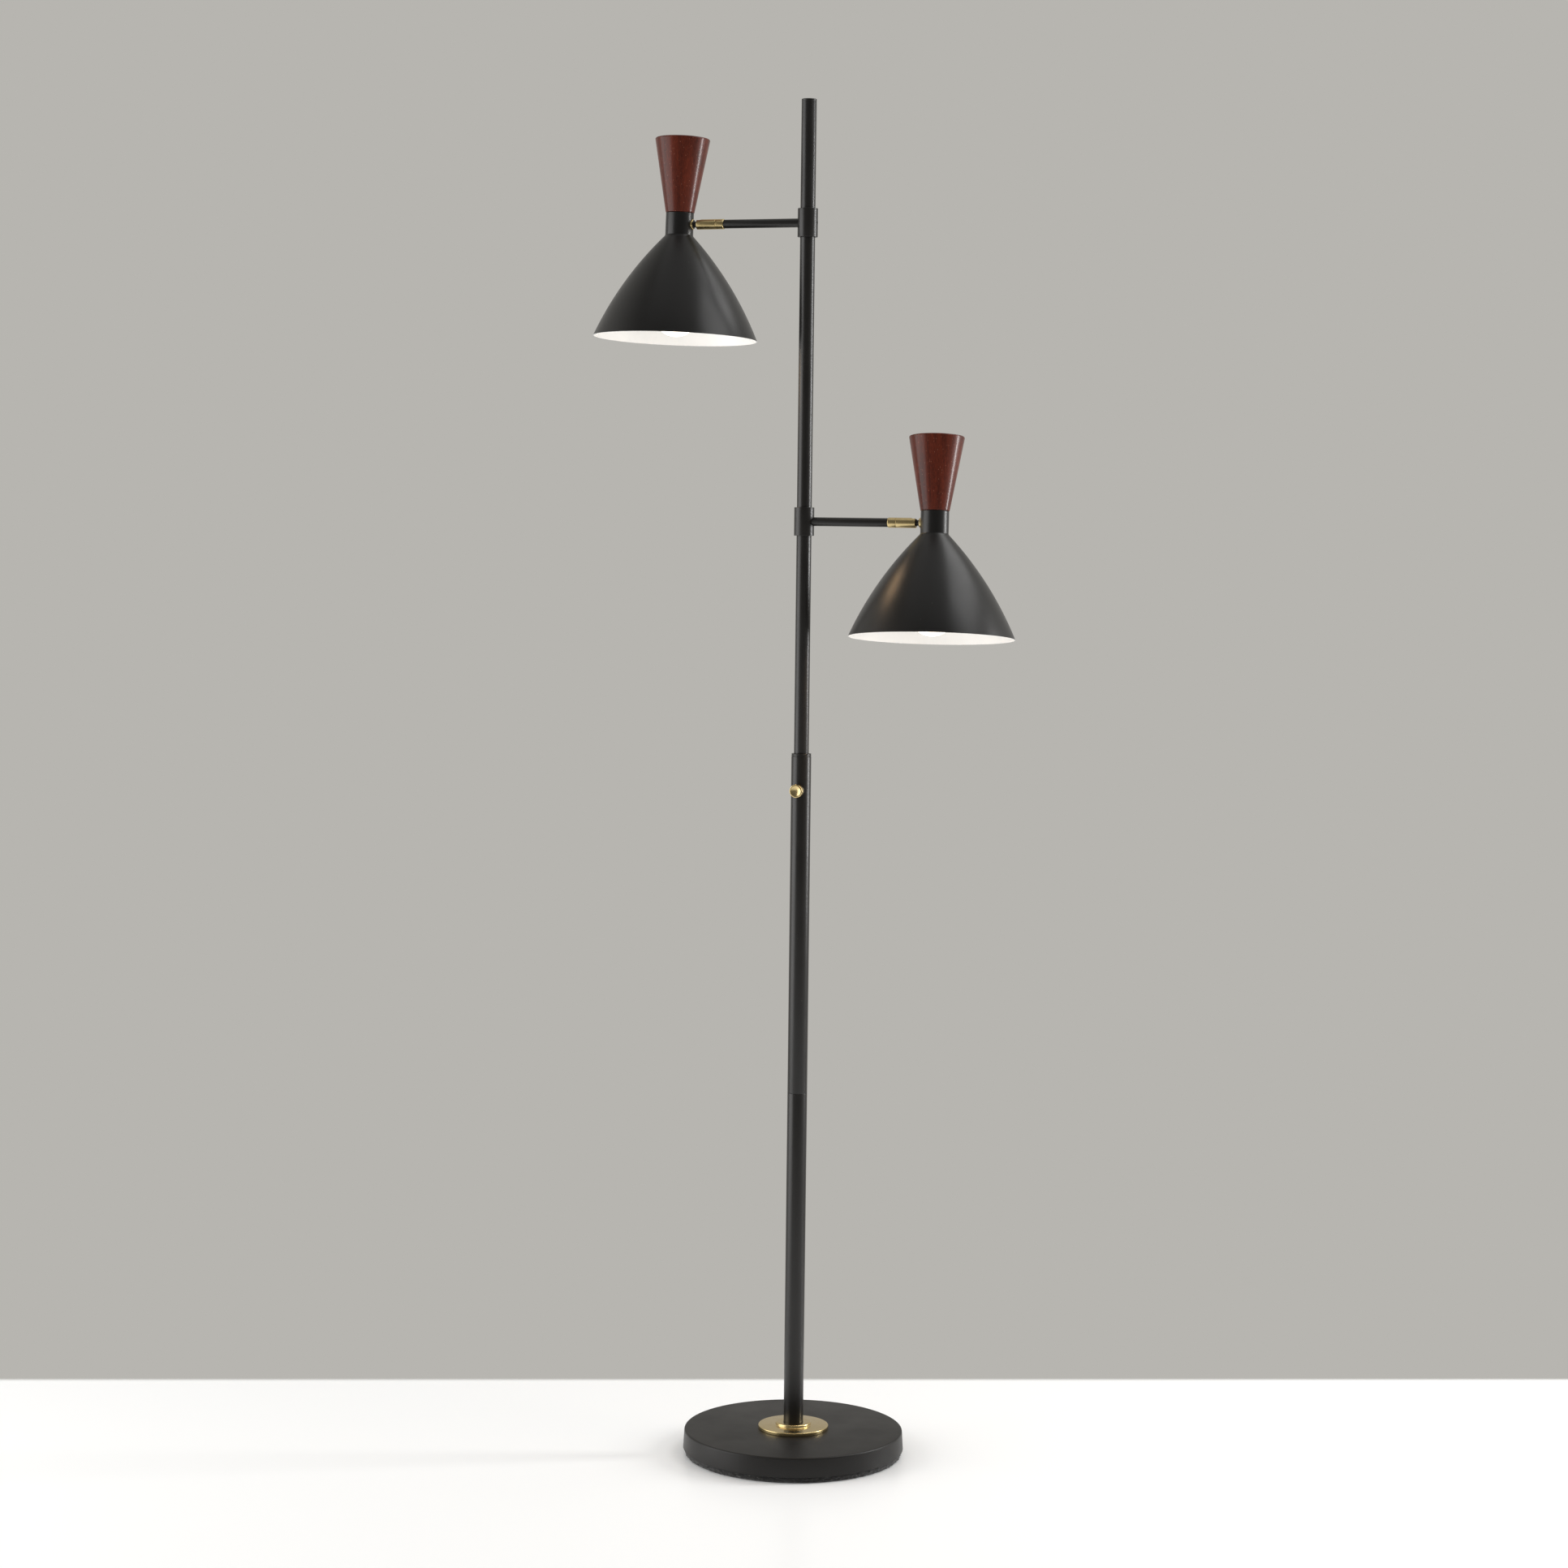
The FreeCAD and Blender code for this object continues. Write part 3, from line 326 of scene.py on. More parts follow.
def on_pole(head):
    """Placement of an arm's pieces: origin on the pole's axis, X along the arm."""
    joint = JOINTS[head + "_swivel"]
    out = Vector(joint["axis"])
    return basis(Vector((0, 0, joint["pos_m"][2])), out, Vector((0, 0, 1)).cross(out))


def on_swivel(head):
    """Placement of a swivel housing: origin in the ball's centre, slot on +Z."""
    out = Vector(JOINTS[head + "_swivel"]["axis"])
    tilt = JOINTS[head + "_tilt"]
    return basis(Vector(tilt["pos_m"]), out, -Vector(tilt["axis"]))


def on_head(head):
    """Placement of a head's pieces: origin in the ball's centre, X along the stem."""
    straight = JOINTS[head + "_tilt"]["range_deg"][0]
    return on_swivel(head) @ Matrix.Rotation(math.radians(straight), 4, "Y")


def on_axis(head, sizes):
    """Placement of what turns about a head's own axis, which is upright here."""
    return on_head(head) @ Matrix.Translation((sizes.ball_to_axis, 0, 0))


LAY_ALONG_X = Matrix.Rotation(math.pi / 2, 4, "Y")
LAY_TO_FRONT = Matrix.Rotation(math.pi / 2, 4, "X")
LAY_TO_REAR = Matrix.Rotation(-math.pi / 2, 4, "X")


# ---- finishes --------------------------------------------------------------------------
def add_node(tree, kind, inputs=None, **settings):
    """Add one node with its settings; an input is a value or the socket that feeds it."""
    node = tree.nodes.new("ShaderNode" + kind)
    for name, value in settings.items():
        setattr(node, name, value)
    for socket, value in (inputs or {}).items():
        if isinstance(value, bpy.types.NodeSocket):
            tree.links.new(value, node.inputs[socket])
        else:
            node.inputs[socket].default_value = value
    return node


def feed(shader, **values):
    """Set or link a shader's sockets, named in lower case with underscores."""
    for key, value in values.items():
        socket = shader.inputs[key.replace("_", " ").title().replace("Ior", "IOR")]
        if isinstance(value, bpy.types.NodeSocket):
            shader.id_data.links.new(value, socket)
        else:
            socket.default_value = value


def finish(name, **values):
    """A material with a Principled shader; values are set on the shader's own sockets."""
    material = bpy.data.materials.new(name)
    material.use_nodes = True
    tree = material.node_tree
    tree.nodes.clear()
    shader = add_node(tree, "BsdfPrincipled")
    feed(shader, **values)
    add_node(tree, "OutputMaterial", {"Surface": shader.outputs[0]})
    return material, tree, shader


def spots_of(tree, on_bench):
    """Coordinates in metres: on the bench for a new piece, in place for a frame node."""
    if on_bench:
        return add_node(tree, "Attribute", attribute_name=BENCH).outputs["Vector"]
    return add_node(tree, "TexCoord").outputs["Object"]


def stretched(tree, spots, *grain_mm):
    """Coordinates counted in grains of one size, or of an x, a y and a z size."""
    scale = [1 / (size * MM) for size in grain_mm * (3 // len(grain_mm))]
    return add_node(tree, "Mapping", {"Vector": spots, "Scale": scale}).outputs[0]


def grain(tree, spots, detail=2.0, roughness=0.5, distortion=0.0):
    return add_node(tree, "TexNoise", {"Vector": spots, "Scale": 1.0, "Detail": detail,
                                       "Roughness": roughness,
                                       "Distortion": distortion}).outputs[0]


def ranged(tree, value, low, high, to_low, to_high):
    """Map a value's range to another, held at its ends."""
    return add_node(tree, "MapRange", {0: value, 1: low, 2: high, 3: to_low,
                                       4: to_high}).outputs[0]


def mixed(tree, factor, first, second):
    return add_node(tree, "Mix", {0: factor, 6: first, 7: second},
                    data_type="RGBA").outputs[2]


def bumped(tree, height, depth_mm):
    """Normal of a surface whose relief is depth_mm deep."""
    return add_node(tree, "Bump", {"Height": height, "Distance": depth_mm * MM,
                                   "Strength": 1.0}).outputs[0]


def shaded(paint, factor):
    """A darker shade of a colour."""
    return [channel * factor for channel in paint[:3]] + [1.0]


def powder_coat(name, paint, roughness, gloss=0.5):
    """Satin polyester powder coat on steel: it flows into a faint orange peel, which
    spreads the highlights, and a few motes of dust lie on it."""
    material, tree, shader = finish(name, base_color=paint, roughness=roughness, ior=1.5,
                                    specular_ior_level=gloss)
    spots = spots_of(tree, True)
    peel = grain(tree, stretched(tree, spots, 1.8))
    cloud = grain(tree, stretched(tree, spots, 45), 3.0)
    uneven = ranged(tree, cloud, 0.3, 0.7, roughness - 0.03, roughness + 0.04)
    mote = add_node(tree, "TexVoronoi", {"Vector": stretched(tree, spots, 17),
                                         "Scale": 1.0}).outputs["Distance"]
    dust = ranged(tree, mote, 0.018, 0.032, 0.55, 0.0)
    feed(shader, normal=bumped(tree, peel, 0.001), roughness=uneven,
         base_color=mixed(tree, dust, paint, linear("#6f6c66")))
    return material


def turned_brass(name, metal, centre, axis):
    """Brass turned on a lathe and lacquered: its fine tool marks run round the axis, so
    highlights spread across them into bands on a side and into a fan on a face."""
    roughness = 0.24
    material, tree, shader = finish(name, base_color=metal, metallic=1.0,
                                    roughness=roughness, anisotropic=0.4,
                                    coat_weight=0.15, coat_roughness=0.1)
    place = add_node(tree, "TexCoord").outputs["Object"]
    arm = add_node(tree, "VectorMath", {0: place, 1: centre}, operation="SUBTRACT").outputs[0]
    around = add_node(tree, "VectorMath", {0: axis, 1: arm},
                      operation="CROSS_PRODUCT").outputs[0]
    tangent = add_node(tree, "VectorTransform", {0: around}, vector_type="VECTOR",
                       convert_from="OBJECT", convert_to="WORLD").outputs[0]
    spots = spots_of(tree, True)
    part = add_node(tree, "SeparateXYZ", {0: spots}).outputs
    level = add_node(tree, "CombineXYZ", {0: part[0], 1: part[1]}).outputs[0]
    across = add_node(tree, "VectorMath", {0: level}, operation="LENGTH").outputs["Value"]
    lathe = add_node(tree, "CombineXYZ", {0: across, 2: part[2]}).outputs[0]
    marks = grain(tree, stretched(tree, lathe, 0.35), 3.0, 0.6)
    wear = grain(tree, stretched(tree, spots, 7), 3.0)
    tarnished = ranged(tree, wear, 0.45, 0.8, 0.0, 0.6)
    feed(shader, tangent=tangent, normal=bumped(tree, marks, 0.00015),
         roughness=ranged(tree, wear, 0.3, 0.75, roughness - 0.02, roughness + 0.03),
         base_color=mixed(tree, tarnished, metal, shaded(metal, 0.92)))
    return material


def stained_wood(name, dark, light):
    """Rubberwood turned along its grain, stained red-brown and lacquered: soft growth
    bands, long fibres, and short open pores with a painted highlight, a paler colour
    standing in for the light they catch through the lacquer."""
    material, tree, shader = finish(name, base_color=dark, roughness=0.42, ior=1.45,
                                    specular_ior_level=0.2, coat_weight=0.4,
                                    coat_roughness=0.16, coat_ior=1.35)
    spots = spots_of(tree, True)
    bands = grain(tree, stretched(tree, spots, 9, 30, 160), 3.0, 0.55, 0.6)
    fibres = grain(tree, stretched(tree, spots, 0.9, 0.9, 22), 4.0, 0.6)
    both = add_node(tree, "Math", {0: bands, 1: fibres}, operation="ADD").outputs[0]
    body = mixed(tree, ranged(tree, both, 0.75, 1.25, 0.0, 1.0), dark, light)
    cell = add_node(tree, "TexVoronoi", {"Vector": stretched(tree, spots, 2.1, 2.1, 5.0),
                                         "Scale": 1.0, "Randomness": 1.0})
    chosen = add_node(tree, "SeparateColor", {0: cell.outputs["Color"]}).outputs[0]
    few = ranged(tree, chosen, 0.55, 0.6, 0.0, 1.0)
    near = ranged(tree, cell.outputs["Distance"], 0.10, 0.2, 1.0, 0.0)
    pore = add_node(tree, "Math", {0: few, 1: near}, operation="MULTIPLY").outputs[0]
    # painted highlight: the pores are mixed towards a pale colour that stands in for light caught in them
    painted_pore_glint = add_node(tree, "Math", {0: pore, 1: 0.45}, operation="MULTIPLY").outputs[0]
    fine = grain(tree, stretched(tree, spots, 0.6, 0.6, 9.0), 2.0)
    relief = add_node(tree, "Math", {0: fine, 1: pore}, operation="SUBTRACT").outputs[0]
    # the pale pore colour is a painted highlight, not the wood's own colour
    feed(shader, base_color=mixed(tree, painted_pore_glint, body, linear("#a8705c")),
         normal=bumped(tree, relief, 0.006),
         roughness=ranged(tree, fibres, 0.3, 0.7, 0.32, 0.42))
    return material


def white_enamel(name, paint):
    """White stoved enamel: smooth and half glossy, with a trace of orange peel."""
    material, tree, shader = finish(name, base_color=paint, roughness=0.32, ior=1.5)
    spots = spots_of(tree, True)
    peel = grain(tree, stretched(tree, spots, 1.6))
    cloud = grain(tree, stretched(tree, spots, 30), 2.0)
    feed(shader, normal=bumped(tree, peel, 0.002),
         base_color=mixed(tree, cloud, paint, shaded(paint, 0.96)))
    return material


def frosted_bulb(name, glow, strength):
    """Lit bulb of etched glass: the coating scatters the light, so the globe glows
    evenly and a little less towards its neck."""
    material, tree, shader = finish(name, base_color=linear("#fbf6ec"), roughness=0.55,
                                    ior=1.5, emission_color=glow)
    spots = spots_of(tree, True)
    height = add_node(tree, "SeparateXYZ", {0: spots}).outputs[2]
    globe, cap = -110 * MM, -62 * MM
    power = ranged(tree, height, globe, cap, strength, strength * 0.45)
    etch = grain(tree, stretched(tree, spots, 0.5))
    feed(shader, normal=bumped(tree, etch, 0.01), emission_strength=power)
    return material


def pressed_felt(name, dye):
    """Dense black needle felt: dull, with matted fibres and paler broken ends."""
    material, tree, shader = finish(name, base_color=dye, roughness=0.95, ior=1.4,
                                    sheen_weight=0.35, sheen_roughness=0.6)
    spots = spots_of(tree, True)
    mat = grain(tree, stretched(tree, spots, 1.3), 5.0, 0.7)
    ends = grain(tree, stretched(tree, spots, 2.4, 2.4, 0.8), 3.0, 0.8, 1.0)
    broken = ranged(tree, ends, 0.62, 0.7, 0.0, 0.8)
    feed(shader, normal=bumped(tree, mat, 0.6),
         base_color=mixed(tree, broken, dye, linear("#8f8980")))
    return material


def moulded(name, base, roughness, on_bench=False):
    """Moulded phenolic or nylon: fine spark-eroded texture over an even colour."""
    material, tree, shader = finish(name, base_color=base, roughness=roughness, ior=1.5)
    spots = spots_of(tree, on_bench)
    spark = grain(tree, stretched(tree, spots, 0.7))
    cloud = grain(tree, stretched(tree, spots, 12), 2.0)
    paler = [min(1.0, channel * 1.15 + 0.002) for channel in base[:3]] + [1.0]
    feed(shader, normal=bumped(tree, spark, 0.015), base_color=mixed(tree, cloud, base, paler))
    return material


def plain_metal(name, metal, roughness, grain_mm, on_bench=False):
    """Machined, plated or cast metal: streaks of its working over a mottled colour."""
    material, tree, shader = finish(name, base_color=metal, metallic=1.0,
                                    roughness=roughness)
    spots = spots_of(tree, on_bench)
    marks = grain(tree, stretched(tree, spots, grain_mm), 4.0, 0.6)
    cloud = grain(tree, stretched(tree, spots, 8), 3.0)
    feed(shader, normal=bumped(tree, marks, 0.03 * grain_mm),
         base_color=mixed(tree, cloud, metal, shaded(metal, 0.75)),
         roughness=ranged(tree, marks, 0.3, 0.7, roughness - 0.05, roughness + 0.08))
    return material


def once(name, make, *settings, **named):
    """The finish of that name, made at its first use."""
    return bpy.data.materials.get(name) or make(name, *settings, **named)


def black_finish():
    return once("satin_powder_coat", powder_coat,
                bpy.context.scene.lamp_colours.black_paint, 0.33)


def brass_finish(place, placement):
    """Brass whose tool marks run round the axis that the piece was turned about."""
    metal = bpy.context.scene.lamp_colours.brass
    direction = placement.to_3x3() @ Vector((0, 0, 1))
    return once("turned_brass_" + place, turned_brass, metal, placement.translation, direction)


# ---- base ----------------------------------------------------------------------------
class LAMP_OT_add_base(bpy.types.Operator):
    """Add the felt pad, the base's shell, the brass flange and the lead bushing"""

    bl_idname = "lamp.add_base"
    bl_label = "Add Base"

    def execute(self, context):
        sizes, colours = context.scene.lamp_sizes, context.scene.lamp_colours
        self.add_pad(sizes, colours)
        self.add_shell(sizes, colours)
        self.add_flange(sizes)
        self.add_bushing()
        return {"FINISHED"}

    def add_pad(self, sizes, colours):
        """Pressed felt, cut by hand: the cut side is torn and uneven."""
        tear = 1.0 * MM           # how far the cut side strays
        foot_cut = 1.6 * MM       # how much smaller the lowest edge is
        top, radius = sizes.pad_height, sizes.pad_radius - 0.8 * tear
        rings, steps = 6, 420
        side = [point(radius - (foot_cut if ring == 0 else 0), top * ring / rings)
                for ring in range(rings + 1)]
        pad = turned("base_pad_felt", [point(0, 0)] + side + [point(0, top)], steps)
        bpy.ops.object.mode_set(mode="EDIT")
        bpy.ops.mesh.select_all(action="DESELECT")
        bpy.ops.object.mode_set(mode="OBJECT")
        for vertex in pad.data.vertices:
            on_side = math.hypot(vertex.co.x, vertex.co.y) > radius - tear
            vertex.select = on_side and tear / 2 < vertex.co.z < top - tear / 2
        bpy.ops.object.mode_set(mode="EDIT")
        bpy.ops.mesh.select_mode(type="VERT")
        bpy.ops.transform.vertex_random(offset=tear, uniform=0.35, normal=0.3, seed=11)
        bpy.ops.object.mode_set(mode="OBJECT")
        felt = once("black_needle_felt", pressed_felt, colours.felt)
        settle(smooth(pad, 50), "stand", ["base_pad"], [felt])

    def add_shell(self, sizes, colours):
        wall = 2 * MM
        top, foot = sizes.shell_top, sizes.pad_height
        shell = turned("base_shell_coated", rounded([
            (PIPE_HOLE, top - wall),
            (sizes.shell_top_radius - wall, top - wall, 1.2 * MM),
            (sizes.shell_foot_radius - wall, foot),
            (sizes.shell_foot_radius, foot, 0.5 * MM),
            (sizes.shell_top_radius, top, 2.5 * MM),
            (PIPE_HOLE, top),
        ]), FINEST)
        matt = once("matt_powder_coat", powder_coat, colours.black_paint, 0.42, 0.35)
        settle(shell, "stand", ["base_shell"], [matt])

    def add_flange(self, sizes):
        foot = sizes.shell_top
        top = foot + sizes.flange_height
        boss = top + sizes.boss_height
        pocket = boss - 4.5 * MM  # the pole stands in it
        flange = turned("base_flange_brass", rounded([
            (PIPE_HOLE, foot),
            (sizes.flange_radius, foot, 0.6 * MM),
            (sizes.flange_radius, top, 1.2 * MM),
            (sizes.boss_radius, top, 1.0 * MM),
            (sizes.boss_radius, boss, 2.0 * MM),
            (sizes.pole_radius, boss, 0.3 * MM),
            (sizes.pole_radius, pocket),
            (PIPE_HOLE, pocket),
        ]))
        settle(flange, "stand", ["base_flange"],
               [brass_finish("flange", Matrix.Identity(4))])

    def add_bushing(self):
        """Nylon bushing in the shell's rear wall; its sizes are in millimetres."""
        low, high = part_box("cord_bushing")
        bore, snap, body, head, rim = 3.3, 5.2, 4.4, 5.6, 5.1
        end, catch, seat = -7.2, -5.2, -2.2
        bushing = turned("cord_bushing_nylon", rounded(in_millimetres([
            (bore, end, 0.6), (snap, end, 0.6), (snap, catch), (body, catch), (body, seat),
            (head, seat, 0.3), (rim, 0, 1.0), (bore, 0, 0.6)])), COARSE)
        place = Matrix.Translation((0, high.y, (low.z + high.z) / 2)) @ LAY_TO_REAR
        nylon = once("black_nylon", moulded, linear("#161617"), 0.5, on_bench=True)
        settle(bushing, "stand", ["cord_bushing"], [nylon], place)


# ---- pole ----------------------------------------------------------------------------
class LAMP_OT_add_pole(bpy.types.Operator):
    """Add the pole's three tubes, the reducer between them and the flat cap"""

    bl_idname = "lamp.add_pole"
    bl_label = "Add Pole"

    def execute(self, context):
        sizes = context.scene.lamp_sizes
        wide, thin, wall = sizes.pole_radius, sizes.upper_pole_radius, sizes.tube_wall
        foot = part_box("pole_lower")[0].z
        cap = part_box("pole_upper")[1].z
        groove = sizes.reducer_groove
        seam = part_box("pole_middle")[1].z
        lip = sizes.reducer_top - 1.0 * MM
        root = wide - 0.8 * MM    # bottom of the two grooves
        bore = 6 * MM
        plug_end = seam - 25 * MM
        socket_end = sizes.reducer_top - 21 * MM
        lower = tube("pole_lower_coated", wide, wide - wall, foot, sizes.seam_height)
        middle = tube("pole_middle_coated", wide, wide - wall, sizes.seam_height, seam)
        upper = tube("pole_upper_coated", thin, thin - wall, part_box("pole_upper")[0].z, cap,
                     0.2 * MM)
        reducer = turned("pole_reducer_coated", rounded([
            (bore, plug_end),
            (wide - wall, plug_end, 1.0 * MM),
            (wide - wall, seam),
            (root, seam), (root, seam + groove),
            (wide, seam + groove, 0.2 * MM), (wide, lip - groove, 0.2 * MM),
            (root, lip - groove), (root, lip),
            (wide, lip, 0.2 * MM),
            (wide, sizes.reducer_top, 0.6 * MM),
            (thin, sizes.reducer_top, 0.3 * MM),
            (thin, socket_end),
            (bore, socket_end),
        ]), COARSE)
        top, plug_foot = sizes.lamp_height, cap - 8 * MM
        plug = turned("pole_cap_coated", rounded([
            (0, top), (thin, top, 0.7 * MM), (thin, cap, 0.15 * MM), (thin - wall, cap),
            (thin - wall, plug_foot, 1.0 * MM), (0, plug_foot)]), COARSE)
        for piece, node in ((lower, "pole_lower"), (middle, "pole_middle"),
                            (upper, "pole_upper"), (reducer, "pole_reducer"),
                            (plug, "pole_cap")):
            settle(piece, "stand", [node], [black_finish()])
        return {"FINISHED"}


class LAMP_OT_add_switch(bpy.types.Operator):
    """Add the dished brass knob and the round nut behind it"""

    bl_idname = "lamp.add_switch"
    bl_label = "Add Switch"

    def execute(self, context):
        sizes = context.scene.lamp_sizes
        low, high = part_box("switch_knob")
        place = Matrix.Translation((0, 0, (low.z + high.z) / 2)) @ LAY_TO_FRONT
        back, face, edge = -high.y, -low.y, sizes.knob_radius
        hub, hub_end = 4 * MM, back + 2.6 * MM
        recess, recess_end = 5.9 * MM, back + 1.3 * MM
        shell = rounded([
            (0, hub_end), (hub, hub_end), (hub, recess_end), (recess, recess_end),
            (recess, back), (edge, back, 0.5 * MM), (edge, face, 0.9 * MM),
            (sizes.dish_radius, face, 0.4 * MM)])
        dish = self.hollow(shell[-1], point(0, face - sizes.dish_depth))
        knob = turned("switch_knob_brass", shell + dish, FINE)
        settle(knob, "switch", ["switch_knob"], [brass_finish("knob", place)], place)
        nut = tube("switch_nut_brass", 5.4 * MM, 3.5 * MM, 12.0 * MM, 14.2 * MM)
        settle(nut, "stand", ["switch_nut"], [brass_finish("knob", place)], place)
        return {"FINISHED"}

    def hollow(self, edge, middle):
        """A shallow dish from its edge to its middle, as part of a sphere."""
        drop = edge.y - middle.y
        radius = (edge.x ** 2 + drop ** 2) / (2 * drop)
        return arc(point(0, middle.y + radius), edge, middle, 8)


# ---- arms ----------------------------------------------------------------------------
class LAMP_OT_add_arms(bpy.types.Operator):
    """Add each arm with its collar, set screw and fixed swivel base"""

    bl_idname = "lamp.add_arms"
    bl_label = "Add Arms"

    SPIGOT, TAIL = 6 * MM, 8 * MM           # how far a swivel base reaches past its ring

    def execute(self, context):
        sizes = context.scene.lamp_sizes
        collar = self.collar(sizes)
        foot = 11 * MM            # where the arm's tube starts, inside its collar
        arm = tube("arm", sizes.arm_radius, WIRE_BORE, foot, self.arm_end(sizes), 0.3 * MM)
        ring = self.swivel_base(sizes)
        screws = []
        for head in HEADS:
            place = on_pole(head)
            along = place @ LAY_ALONG_X
            settle(twin(collar, head + "_collar_coated"), "stand",
                   [head + "_collar"], [black_finish()], place)
            settle(twin(arm, head + "_arm_coated"), "stand",
                   [head + "_arm"], [black_finish()], along)
            settle(twin(ring, head + "_swivel_base_brass"), "stand",
                   [head + "_swivel_base"], [brass_finish(head + "_base", along)], along)
            screws.append(self.set_screw(head, along))
        for pattern in (collar, arm, ring):
            bpy.data.objects.remove(pattern, do_unlink=True)
        steel = once("blackened_steel", plain_metal, linear("#3a3a3b"), 0.4, 0.5, on_bench=True)
        select_none()
        for screw in screws:
            screw.select_set(True)
        bpy.context.view_layer.objects.active = screws[0]
        bpy.ops.object.join()
        screws[0].name = "collar_set_screws_steel"
        settle(screws[0], "stand", ["collar_set_screws"], [steel])
        return {"FINISHED"}

    def arm_end(self, sizes):
        """Pole axis to the end of the arm's tube."""
        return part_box("lower_swivel_base")[1].x - self.SPIGOT - sizes.base_length

    def collar(self, sizes):
        """Turned collar with rounded ends and the tapped hole of its set screw."""
        half = sizes.collar_height / 2
        collar = tube("collar", sizes.collar_radius, sizes.upper_pole_radius, -half, half,
                      0.5 * MM, FINE)
        thread, mouth = 2.55, 3.1
        inside, sink, flare, outside = 9, 12.5, 13.05, 15
        hole = turned("screw_hole", rounded(in_millimetres([
            (0, inside), (thread, inside), (thread, sink), (mouth, flare), (mouth, outside),
            (0, outside)])), COARSE)
        put(hole, Matrix.Rotation(-math.pi / 2, 4, "Y"))
        return smooth(cut(collar, hole))

    def swivel_base(self, sizes):
        """Brass ring on the arm's end; its front edge makes the fine seam."""
        back, edge, bore = self.arm_end(sizes), sizes.housing_radius, 2.3 * MM
        front = back + sizes.base_length
        tail, tip = back - self.TAIL, front + self.SPIGOT
        return turned("swivel_base", rounded([
            (bore, tail), (WIRE_BORE, tail, 0.6 * MM), (WIRE_BORE, back),
            (edge, back, 0.8 * MM), (edge, front, 0.25 * MM), (WIRE_BORE, front),
            (WIRE_BORE, tip, 0.3 * MM), (bore, tip)]), COARSE)

    def set_screw(self, head, along):
        """Cup-point screw with a hexagon socket, facing away from the arm."""
        face, tip, thread = -12.5 * MM, -9.6 * MM, 2.5 * MM
        key_radius, key_depth = 1.45 * MM, 2 * MM
        screw = turned(head + "_screw", rounded([
            (0, face), (thread, face, 0.3 * MM), (thread, tip, 0.4 * MM), (0, tip)]), COARSE)
        select_none()
        bpy.ops.mesh.primitive_cylinder_add(vertices=6, radius=key_radius,
                                            depth=2 * key_depth, location=(0, 0, face))
        smooth(cut(screw, bpy.context.object))
        put(screw, along)
        return screw


class LAMP_OT_add_swivels(bpy.types.Operator):
    """Add the slotted brass housings that turn on the arms"""

    bl_idname = "lamp.add_swivels"
    bl_label = "Add Swivels"

    def execute(self, context):
        sizes = context.scene.lamp_sizes
        housing = self.housing(sizes)
        for head in HEADS:
            along = on_swivel(head) @ LAY_ALONG_X
            settle(twin(housing, head + "_swivel_housing_brass"), head + "_swivel",
                   [head + "_swivel_housing"], [brass_finish(head + "_housing", along)], along)
        bpy.data.objects.remove(housing, do_unlink=True)
        return {"FINISHED"}

    def housing(self, sizes):
        """Sleeve round the ball, made along Z with its slot on -X, which ends up on top."""
        clearance = 0.05 * MM
        edge, cup = sizes.housing_radius, sizes.ball_radius + clearance
        nose = sizes.nose
        rear = nose - sizes.housing_length
        mouth = point(math.sqrt(cup ** 2 - nose ** 2), nose)
        outside = rounded([(cup, rear), (edge, rear, 0.25 * MM), (edge, nose, 0.8 * MM),
                           (mouth.x, nose)])
        inside = arc(point(0, 0), mouth, point(cup, 0), 8)
        housing = turned("swivel_housing", outside + inside, FINE)
        half = sizes.slot_width / 2
        reach, past_nose = 20 * MM, 10 * MM
        slot = block("slot", Vector((-reach, -half, 0)), Vector((0, half, past_nose)))
        select_none()
        bpy.ops.mesh.primitive_cylinder_add(vertices=COARSE, radius=half, depth=reach,
                                            location=(-reach / 2, 0, 0),
                                            rotation=(0, math.pi / 2, 0))
        round_end = bpy.context.object
        cut(housing, slot)
        cut(housing, round_end)
        apply(housing, "BEVEL", width=0.18 * MM, segments=2, limit_method="ANGLE",
              angle_limit=math.radians(50))
        return smooth(housing)


# ---- heads ---------------------------------------------------------------------------
class LAMP_OT_add_stems(bpy.types.Operator):
    """Add each head's black ball stem and the brass ring between it and the neck"""

    bl_idname = "lamp.add_stems"
    bl_label = "Add Stems"

    def execute(self, context):
        sizes = context.scene.lamp_sizes
        ball, stem = sizes.ball_radius, sizes.stem_radius
        bore, thread, flange = 2.1 * MM, 4 * MM, 5.4 * MM
        seat = sizes.ball_to_axis - sizes.ring_front
        flange_back, tip = seat - 0.85 * MM, 16 * MM
        ring_back = seat + 2.6 * MM
        edge = sizes.ring_radius
        back = point(bore, -math.sqrt(ball ** 2 - bore ** 2))
        waist = point(stem, math.sqrt(ball ** 2 - stem ** 2))
        outline = [back] + arc(point(0, 0), back, point(ball, 0), 8)
        outline += arc(point(0, 0), point(ball, 0), waist, 6)
        outline += rounded([
            (stem, flange_back, 0.2 * MM), (flange, flange_back, 0.3 * MM),
            (flange, seat, 0.3 * MM), (thread, seat), (thread, tip, 0.4 * MM), (bore, tip)])
        pattern = turned("ball_stem", outline, COARSE)
        ring = turned("neck_ring", rounded([
            (thread, seat), (edge, seat, 0.8 * MM), (edge, ring_back), (thread, ring_back)]),
            COARSE)
        for head in HEADS:
            along = on_head(head) @ LAY_ALONG_X
            settle(twin(pattern, head + "_ball_stem_coated"), head + "_head",
                   [head + "_ball_stem"], [black_finish()], along)
            settle(twin(ring, head + "_neck_ring_brass"), head + "_head",
                   [head + "_neck_ring"], [brass_finish(head + "_ring", along)], along)
        for spare in (pattern, ring):
            bpy.data.objects.remove(spare, do_unlink=True)
        return {"FINISHED"}


